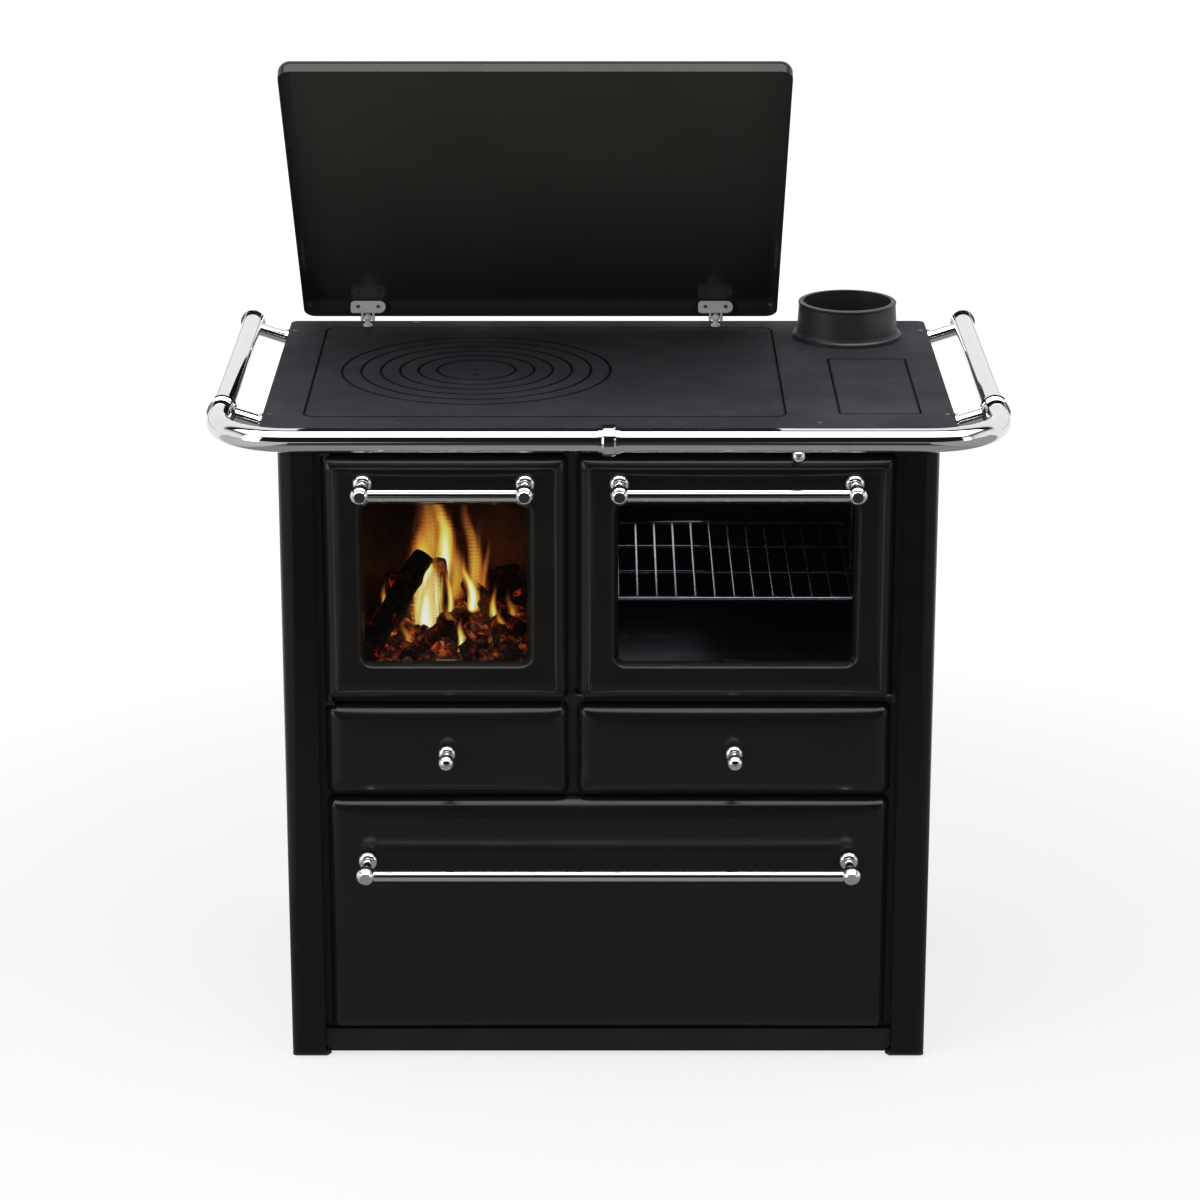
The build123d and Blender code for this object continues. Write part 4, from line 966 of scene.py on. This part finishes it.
def slottedScrew(bm, place, up, radius, turn):
    # countersunk head: two half discs with a slot between them over a lower disc
    made, sides = [], screwLook["sides"]
    slot, rise = radius * 0.18, radius * 0.16
    for side in (-1, 1):
        half = bmesh.ops.create_cone(
            bm, cap_ends=True, segments=sides, radius1=radius, radius2=radius * 0.9, depth=rise)["verts"]
        geometry = half + list({edge for vert in half for edge in vert.link_edges}) \
            + list({face for vert in half for face in vert.link_faces})
        cut = bmesh.ops.bisect_plane(
            bm, geom=geometry, plane_co=(0, side * slot, 0), plane_no=(0, -side, 0), clear_outer=True)
        rim = [item for item in cut["geom_cut"] if isinstance(item, bmesh.types.BMEdge)]
        bmesh.ops.contextual_create(bm, geom=rim)
        made += {vert for item in cut["geom"] if isinstance(item, bmesh.types.BMFace) and item.is_valid
                 for vert in item.verts}
    base = bmesh.ops.create_cone(
        bm, cap_ends=True, segments=sides, radius1=radius, radius2=radius, depth=rise * 0.5)["verts"]
    bmesh.ops.translate(bm, vec=(0, 0, -rise * 0.7), verts=base)
    made = list(set(made)) + base
    bmesh.ops.transform(
        bm, verts=made, matrix=Matrix.Translation(place) @ axisTurn(up) @ Matrix.Rotation(turn, 4, "Z"))


def crossScrew(bm, place, up, radius, turn, dome=0.45):
    # domed head with a pressed cross: rings of a lathe shape, the cross pushed down
    sides = 16
    profile = [(0.0, dome), (0.22, dome * 0.98), (0.55, dome * 0.8), (0.85, dome * 0.4), (1.0, 0.0),
               (1.0, -0.25)]
    before = set(bm.verts)
    start = [bm.verts.new((share * radius, 0, height * radius)) for share, height in profile]
    spine = [bm.edges.new(pair) for pair in zip(start, start[1:])]
    bmesh.ops.spin(bm, geom=start + spine, cent=(0, 0, 0), axis=(0, 0, 1), angle=2 * math.pi, steps=sides,
                   use_merge=True)
    grown = [vert for vert in bm.verts if vert not in before]
    bmesh.ops.remove_doubles(bm, verts=grown, dist=radius * 1e-4)
    grown = {vert for vert in grown if vert.is_valid}
    faces = {face for vert in grown for face in vert.link_faces}
    sunk = []
    for face in faces:
        centre = face.calc_center_median()
        if centre.z < dome * radius * 0.7:
            continue
        angle = math.degrees(math.atan2(centre.y, centre.x)) % 90.0
        if centre.xy.length < radius * 0.25 or angle < 23.0:
            sunk.append(face)
    pushed = bmesh.ops.extrude_face_region(bm, geom=sunk)
    low = [item for item in pushed["geom"] if isinstance(item, bmesh.types.BMVert)]
    bmesh.ops.delete(bm, geom=sunk, context="FACES")
    bmesh.ops.translate(bm, vec=(0, 0, -radius * 0.4), verts=low)
    moved = list({vert for vert in grown if vert.is_valid} | set(low))
    bmesh.ops.transform(
        bm, verts=moved, matrix=Matrix.Translation(place) @ axisTurn(up) @ Matrix.Rotation(turn, 4, "Z"))


def makeCooktopScrews():
    low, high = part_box("cooktop_frame")
    front, top = low.y, high.z
    spots = [(side * 0.266, front + reach * mm) for side in (-1, 1) for reach in (23, 552)]
    spots += [(side * 0.431, front + reach * mm) for side in (-1, 1) for reach in (64, 507)]
    bm = bmesh.new()
    for number, (x, y) in enumerate(spots):
        slottedScrew(bm, (x, y, top + 0.0004), (0, 0, 1), screwLook["cooktopRadius"], 0.7 + 1.9 * number)
    finishPiece("cooktop_screws", bm, darkScrew, "stove_body", smooth=False)


def makeHingeScrews():
    # two cross-head screws in each of the lid's hinge plates
    low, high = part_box("lid_hinge_plates")
    bm = bmesh.new()
    toOpen = Matrix.Rotation(-lidOpen, 3, "X")
    for middle in (low.x + 24 * mm, high.x - 24 * mm):
        for side, turn in ((-1, 0.5), (1, 1.1)):
            shut = (middle + side * 14 * mm, lidHinge.y - 2.5 * mm, lidHinge.z + 17 * mm)
            crossScrew(bm, lidTurned(shut), toOpen @ Vector((0, -1, 0)), screwLook["hingeRadius"], turn)
    finishPiece("lid_hinge_screws", bm, finishes["steel_fittings"], "lid")


def makeBackScrews():
    # a row of cross-head screws round the sheet that closes the back
    low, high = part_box("back_panel")
    edge = screwLook["backInset"]
    across = [low.x + edge + (high.x - low.x - 2 * edge) * share / 4 for share in range(5)]
    up = [low.z + edge + (high.z - low.z - 2 * edge) * share / 4 for share in range(1, 4)]
    spots = [(x, z) for x in across for z in (low.z + edge, high.z - edge)]
    spots += [(x, z) for x in (low.x + edge, high.x - edge) for z in up]
    bm = bmesh.new()
    for number, (x, z) in enumerate(spots):
        crossScrew(bm, (x, high.y, z), (0, 1, 0), screwLook["backRadius"], 0.4 + 1.7 * number, 0.35)
    finishPiece("back_screws", bm, darkScrew, "stove_body")


makeCooktopScrews()
makeHingeScrews()
makeBackScrews()
print("screws in place")


# twisted rope seals behind the doors

ropeLook = {
    "strands": 3,
    "strandSides": 8,
    "pitch": 15 * mm,
    "stepsPerTurn": 9,
    "corner": 7 * mm,
    "width": 8 * mm,
}


def alongLoop(box, corner, travelled):
    # place and outward direction on a rounded rectangle after a distance along it
    x0, x1, z0, z1 = box
    sides = (x1 - x0 - 2 * corner, z1 - z0 - 2 * corner)
    arc = math.pi / 2 * corner
    travelled %= 2 * (sides[0] + sides[1]) + 4 * arc
    spot, heading = Vector((x0 + corner, 0.0, z0)), 0.0
    for number in range(8):
        forward = Vector((math.cos(heading), 0.0, math.sin(heading)))
        outward = Vector((math.sin(heading), 0.0, -math.cos(heading)))
        run = sides[number // 2 % 2] if number % 2 == 0 else arc
        if travelled <= run or number == 7:
            if number % 2 == 0:
                return spot + forward * travelled, outward
            turned = travelled / corner
            direction = outward * math.cos(turned) + forward * math.sin(turned)
            return spot - outward * corner + direction * corner, direction
        travelled -= run
        if number % 2 == 0:
            spot = spot + forward * run
        else:
            spot = spot - outward * corner + forward * corner
            heading += math.pi / 2


def makeRopeSeal(node, body):
    look = ropeLook
    low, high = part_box(node)
    halfWidth, halfDepth = look["width"] / 2, (high.y - low.y) / 2
    strand = min(halfWidth, halfDepth) * 0.52
    box = (low.x + halfWidth, high.x - halfWidth, low.z + halfWidth, high.z - halfWidth)
    around = 2 * (box[1] - box[0] + box[3] - box[2]) - (8 - 2 * math.pi) * look["corner"]
    turns = round(around / look["pitch"])
    steps = turns * look["stepsPerTurn"]
    bm = bmesh.new()
    for number in range(look["strands"]):
        sheet = bmesh.ops.create_grid(bm, x_segments=steps, y_segments=look["strandSides"],
                                      size=1.0)["verts"]
        for vert in sheet:
            step = round((vert.co.x + 1) / 2 * steps)
            angle = math.pi * (vert.co.y + 1)
            spot, outward = alongLoop(box, look["corner"], around * step / steps)
            twist = 2 * math.pi * (step / look["stepsPerTurn"] + number / look["strands"])
            reach = math.cos(twist) * (halfWidth - strand) + math.cos(angle) * strand
            rise = math.sin(twist) * (halfDepth - strand) + math.sin(angle) * strand
            vert.co = spot + outward * reach + Vector((0.0, (low.y + high.y) / 2 + rise, 0.0))
        bmesh.ops.remove_doubles(bm, verts=sheet, dist=0.01 * mm)
    finishPiece(node + "_rope", bm, finishes["rope_seal"], body, replaces=(node,))


makeRopeSeal("fire_door_seal", "fire_door")
makeRopeSeal("oven_door_seal", "oven_door")
print("rope seals laid")


# the fire

fireLook = {
    "centre": (-0.2085, -0.02),
    "grateTop": 0.514,
    "bedHalf": (0.112, 0.150),
    "bedRise": 0.024,
    "logs": [
        # foot, head, radius at foot, radius at head
        ((-0.322, -0.128, 0.530), (-0.238, -0.050, 0.645), 0.0165, 0.0150),
        ((-0.219, 0.020, 0.530), (-0.222, 0.000, 0.624), 0.0105, 0.0090),
        ((-0.112, -0.060, 0.540), (-0.192, 0.050, 0.576), 0.0130, 0.0110),
        ((-0.300, 0.080, 0.556), (-0.120, 0.110, 0.560), 0.0230, 0.0210),
        ((-0.262, -0.140, 0.533), (-0.196, -0.020, 0.552), 0.0120, 0.0140),
        ((-0.176, -0.148, 0.534), (-0.214, -0.040, 0.556), 0.0110, 0.0120),
        ((-0.120, -0.150, 0.532), (-0.156, -0.020, 0.560), 0.0110, 0.0130),
    ],
}


def makeBarkMaterial():
    material, tree, shader, place = startMaterial("charredWood", Specular_IOR_Level=0.15)
    plates = cells(tree, stretched(tree, place, (1.0, 1.0, 0.45)), 120.0,
                   "DISTANCE_TO_EDGE").outputs["Distance"]
    grain = noisePattern(tree, place, 160.0, 5.0, 0.65)
    heat = noisePattern(tree, place, 26.0, 3.0)
    colour = ramp(tree, grain, (0.30, (0.004, 0.0030, 0.0026)), (0.60, (0.018, 0.011, 0.008)),
                  (0.78, (0.09, 0.055, 0.038)))
    feed(tree, shader.inputs["Base Color"], colour)
    feed(tree, shader.inputs["Roughness"], 0.9)
    crack = remap(tree, plates, 0.0, 0.09, 1.0, 0.0)
    lit = times(tree, crack, remap(tree, heat, 0.50, 0.68, 0.0, 1.0, True))
    axes = tree.nodes.new("ShaderNodeSeparateXYZ")
    feed(tree, axes.inputs[0], place)
    lit = times(tree, lit, remap(tree, axes.outputs["Z"], 0.60, 0.53, 0.03, 0.7))
    glow = ramp(tree, lit, (0.0, (0.0, 0.0, 0.0)), (0.4, (0.35, 0.02, 0.002)), (1.0, (1.0, 0.20, 0.02)))
    feed(tree, shader.inputs["Emission Color"], glow)
    shader.inputs["Emission Strength"].default_value = 1.6
    feed(tree, shader.inputs["Normal"], bumped(tree, calc(tree, "ADD", plates,
                                                          times(tree, grain, 0.3)), 0.004))
    return material


def makeEmberMaterial():
    material, tree, shader, place = startMaterial("emberBed", Specular_IOR_Level=0.1)
    lumps = noisePattern(tree, place, 60.0, 4.0, 0.6)
    heat = noisePattern(tree, place, 62.0, 4.0, 0.6)
    colour = ramp(tree, lumps, (0.30, (0.006, 0.005, 0.005)), (0.55, (0.04, 0.03, 0.026)),
                  (0.75, (0.22, 0.20, 0.18)))
    feed(tree, shader.inputs["Base Color"], colour)
    feed(tree, shader.inputs["Roughness"], 0.95)
    glow = ramp(tree, heat, (0.50, (0.0, 0.0, 0.0)), (0.58, (0.10, 0.012, 0.003)),
                (0.66, (0.45, 0.085, 0.012)),
                (0.76, (0.80, 0.34, 0.06)))
    feed(tree, shader.inputs["Emission Color"], glow)
    shader.inputs["Emission Strength"].default_value = 0.8
    feed(tree, shader.inputs["Normal"], bumped(tree, lumps, 0.004))
    return material


def makeFlameMaterial():
    # u runs across a tongue of flame and v up it; hotness is each tongue's own
    material, tree, shader, place = startMaterial("flame", Base_Color=(0, 0, 0, 1),
                                                  Specular_IOR_Level=0.0, Roughness=1.0)
    chart = tree.nodes.new("ShaderNodeUVMap")
    chart.uv_map = "flameChart"
    axes = tree.nodes.new("ShaderNodeSeparateXYZ")
    feed(tree, axes.inputs[0], chart.outputs[0])
    hotness = tree.nodes.new("ShaderNodeAttribute")
    hotness.attribute_name = "hotness"
    up = axes.outputs["Y"]
    middle = calc(tree, "ABSOLUTE", calc(tree, "SUBTRACT", times(tree, axes.outputs["X"],
                                                                2.0), 1.0))
    streaks = noisePattern(tree, stretched(tree, place, (210.0, 210.0, 17.0)), 1.0, 3.0, 0.55, 0.6)
    frayed = calc(tree, "ADD", middle, times(tree, calc(tree, "SUBTRACT", streaks, 0.5), 1.1))
    edge = remap(tree, frayed, -0.05, 0.95, 1.0, 0.0, True)
    rise = remap(tree, up, 0.25, 1.0, 1.0, 0.0, True)
    foot = remap(tree, up, 0.0, 0.10, 0.0, 1.0, True)
    heat = times(tree, times(tree, edge, rise), foot)
    heat = times(tree, heat, remap(tree, streaks, 0.32, 0.68, 0.75, 1.1))
    heat = times(tree, heat, hotness.outputs["Fac"])
    colour = ramp(tree, heat, (0.0, (0.20, 0.035, 0.012)), (0.18, (0.36, 0.085, 0.022)),
                  (0.33, (0.60, 0.20, 0.030)),
                  (0.48, (0.72, 0.48, 0.060)), (0.64, (0.68, 0.70, 0.15)), (0.80, (0.84, 0.87, 0.50)),
                  (1.0, (0.88, 0.86, 0.98)))
    feed(tree, shader.inputs["Emission Color"], colour)
    shader.inputs["Emission Strength"].default_value = 1.0
    feed(tree, shader.inputs["Alpha"], remap(tree, heat, 0.0, 0.85, 0.0, 0.93, True))
    return material


def growRod(bm, sides, rings):
    # a unit disc extruded ring by ring, with the level of each point
    disc = bmesh.ops.create_circle(bm, cap_ends=True, segments=sides, radius=1.0)["verts"]
    face = list({face for vert in disc for face in vert.link_faces})
    levels = {vert: 0 for vert in disc}
    for level in range(1, rings + 1):
        out = bmesh.ops.extrude_face_region(bm, geom=face)["geom"]
        face = [item for item in out if isinstance(item, bmesh.types.BMFace)]
        levels.update({item: level for item in out if isinstance(item, bmesh.types.BMVert)})
    return levels


def makeLogs(look):
    # each log is a rod of rings with a chipped, wavy skin and sawn ends
    bm = bmesh.new()
    sides, rings = 26, 34
    for number, (foot, head, footRadius, headRadius) in enumerate(look["logs"]):
        foot, head = Vector(foot), Vector(head)
        levels = growRod(bm, sides, rings)
        for vert, level in levels.items():
            share = level / rings
            radius = footRadius + (headRadius - footRadius) * share
            angle = math.atan2(vert.co.y, vert.co.x)
            ring = Vector((math.cos(angle), math.sin(angle), share * 3.0 + number * 7.0))
            rough = noise.fractal(ring * 1.6, 1.0, 2.0, 4) * 0.22 + noise.noise(ring * 7.0) * 0.06
            bend = noise.noise(Vector((number * 3.1, share * 1.7, 0.4))) * footRadius * 0.7
            trim = 0.90 if level in (0, rings) else 1.0
            reach = radius * (1.0 + rough) * trim
            vert.co = Vector((math.cos(angle) * reach + bend, math.sin(angle) * reach,
                              share * (head - foot).length))
        bmesh.ops.transform(bm, verts=list(levels), matrix=Matrix.Translation(foot) @ axisTurn(head - foot))
    inner = [face for face in bm.faces if len(face.verts) > 4 and not face.edges[0].is_boundary
             and all(len(edge.link_faces) > 2 for edge in face.edges)]
    bmesh.ops.delete(bm, geom=inner, context="FACES_ONLY")
    finishPiece("burning_logs", bm, makeBarkMaterial(), "stove_body")


def makeEmberBed(look):
    bm = bmesh.new()
    halfX, halfY = look["bedHalf"]
    x, y = look["centre"]
    bmesh.ops.create_grid(bm, x_segments=70, y_segments=90, size=1.0)
    top = list(bm.verts)
    for vert in top:
        across, along = vert.co.x, vert.co.y
        mound = max(0.0, (1 - across ** 4) * (1 - along ** 4))
        place = Vector((x + across * halfX, y + along * halfY, 0.0))
        lump = noise.fractal(place * 42.0, 0.9, 2.1, 4) * 0.013 + abs(noise.noise(place * 95.0)) * 0.008
        vert.co = Vector((place.x, place.y, look["grateTop"] + 0.0015 + mound * (look["bedRise"] + lump)))
    skirt = bmesh.ops.extrude_edge_only(bm, edges=[edge for edge in bm.edges if edge.is_boundary])["geom"]
    low = [item for item in skirt if isinstance(item, bmesh.types.BMVert)]
    for vert in low:
        vert.co.z = look["grateTop"] + 0.0003
    bmesh.ops.contextual_create(bm, geom=[edge for edge in bm.edges if edge.is_boundary])
    # loose coals
    dice = random.Random(7)
    for _ in range(84):
        lumpSize = dice.uniform(0.004, 0.010)
        made = bmesh.ops.create_icosphere(bm, subdivisions=2, radius=lumpSize)["verts"]
        seed = Vector((dice.random(), dice.random(), dice.random())) * 10
        for vert in made:
            vert.co *= 1.0 + noise.fractal(vert.co * (2.2 / lumpSize) + seed, 1.0, 2.0, 3) * 0.35
        across, along = dice.uniform(-0.88, 0.88), dice.uniform(-0.88, 0.88)
        mound = (1 - across ** 4) * (1 - along ** 4)
        spot = Vector((x + across * halfX, y + along * halfY,
                       look["grateTop"] + mound * look["bedRise"] + lumpSize * 0.5))
        turn = Matrix.Rotation(dice.uniform(0, 6.28), 4,
                               Vector((dice.random(), dice.random(), dice.random() + 0.1)))
        bmesh.ops.transform(bm, verts=made, matrix=Matrix.Translation(spot) @ turn)
    finishPiece("ember_bed", bm, makeEmberMaterial(), "stove_body")


flameTongues = [
    # foot x, foot y, foot z, height, half width, lean to the side, lean back, bend, hotness
    (-0.236, -0.020, 0.500, 0.228, 0.041, 0.004, 0.020, 0.9, 1.20),
    (-0.236, -0.045, 0.508, 0.150, 0.023, 0.000, 0.005, 3.3, 1.30),
    (-0.224, 0.030, 0.560, 0.194, 0.027, 0.006, 0.010, 1.7, 1.00),
    (-0.240, 0.045, 0.550, 0.216, 0.043, 0.010, 0.010, 2.4, 0.62),
    (-0.212, 0.060, 0.540, 0.162, 0.033, 0.004, 0.010, 4.6, 0.50),
    (-0.212, -0.010, 0.540, 0.103, 0.011, 0.004, 0.000, 5.4, 0.80),
    (-0.180, 0.000, 0.548, 0.092, 0.016, -0.012, 0.010, 5.2, 1.10),
    (-0.184, 0.020, 0.560, 0.184, 0.021, 0.010, 0.010, 4.1, 0.55),
    (-0.172, 0.060, 0.545, 0.140, 0.022, -0.010, 0.000, 5.9, 0.42),
    (-0.170, 0.030, 0.560, 0.113, 0.010, 0.014, 0.005, 6.4, 0.42),
    (-0.148, -0.060, 0.538, 0.081, 0.011, -0.002, 0.010, 7.3, 0.85),
    (-0.138, -0.080, 0.528, 0.065, 0.013, -0.004, 0.010, 8.1, 0.75),
    (-0.130, -0.040, 0.530, 0.076, 0.013, 0.006, 0.010, 8.9, 0.55),
    (-0.188, -0.120, 0.520, 0.071, 0.013, -0.010, 0.005, 9.4, 1.10),
    (-0.206, -0.070, 0.525, 0.076, 0.015, 0.002, 0.005, 3.9, 0.60),
    (-0.300, -0.080, 0.545, 0.084, 0.011, 0.014, 0.010, 9.0, 0.95),
    (-0.282, -0.020, 0.550, 0.076, 0.013, 0.012, 0.010, 9.6, 0.45),
    (-0.262, -0.090, 0.520, 0.059, 0.014, 0.002, 0.010, 10.2, 0.55),
    (-0.246, -0.115, 0.518, 0.049, 0.010, -0.004, 0.005, 11.4, 0.70),
    (-0.165, -0.110, 0.518, 0.049, 0.011, 0.006, 0.005, 12.6, 0.60),
]


def makeFlames(tongues):
    # each tongue is a closed, flattened spindle that twists as it rises
    bm = bmesh.new()
    chart = bm.loops.layers.uv.new("flameChart")
    sides, rings = 20, 36
    places = {}
    heatLayer = bm.verts.layers.float.new("hotness")
    for footX, footY, footZ, height, halfWidth, leanX, leanY, phase, hotness in tongues:
        levels = growRod(bm, sides, rings)
        for vert, level in levels.items():
            share = level / rings
            angle = math.atan2(vert.co.y, vert.co.x)
            belly = math.sin(math.pi * min(1.0, share * 0.62 + 0.20)) ** 0.8 * (1.0 - share) ** 0.55 + 0.006
            ripple = 1.0 + 0.30 * noise.noise(Vector((phase, share * 4.0, angle)))
            wide, thick = halfWidth * belly * ripple, halfWidth * belly * 0.30
            sway = noise.noise(Vector((phase * 1.3, share * 2.3, 0.0))) * halfWidth * 1.5 * share
            turn = 0.5 * math.sin(phase + share * 2.5)
            across, depth = math.cos(angle) * wide, math.sin(angle) * thick
            places[vert] = (0.5 + 0.5 * math.cos(angle), share)
            vert[heatLayer] = hotness
            vert.co = Vector((
                footX + across * math.cos(turn) - depth * math.sin(turn) + sway + leanX * share,
                footY + across * math.sin(turn) + depth * math.cos(turn) + leanY * share,
                footZ + height * share))
    for face in bm.faces:
        for loop in face.loops:
            loop[chart].uv = places[loop.vert]
    finishPiece("flames", bm, makeFlameMaterial(), "stove_body")


makeLogs(fireLook)
makeEmberBed(fireLook)
makeFlames(flameTongues)


innerLamps = {
    "firePower": 0.8,
    "fireColour": (1.0, 0.30, 0.10),
    "fireSize": 0.03,
    "firePlace": (-0.22, -0.02, 0.62),
    "ovenWidth": 0.13,
    "ovenHeight": 0.10,
    "ovenBrightness": 1.0,
}


def addInnerLamps(look):
    # the fire's own light on its bricks, and a small lamp at the back of the oven
    fire = bpy.data.lights.new("fireGlow", "POINT")
    fire.energy = look["firePower"]
    fire.color = look["fireColour"]
    fire.shadow_soft_size = look["fireSize"]
    fireLamp = bpy.data.objects.new("fireGlow", fire)
    fireLamp.location = look["firePlace"]
    bpy.context.scene.collection.objects.link(fireLamp)
    hideLamp(fireLamp, False)
    low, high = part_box("oven_box")
    place = (low.x + 0.075, high.y - 0.02, high.z - 0.11)
    target = (low.x + 0.12, low.y, high.z - 0.14)
    oven = addSoftbox("ovenGlow", place, target, look["ovenWidth"], look["ovenHeight"],
                      look["ovenBrightness"])
    hideLamp(oven, True)


addInnerLamps(innerLamps)
print("fire laid")
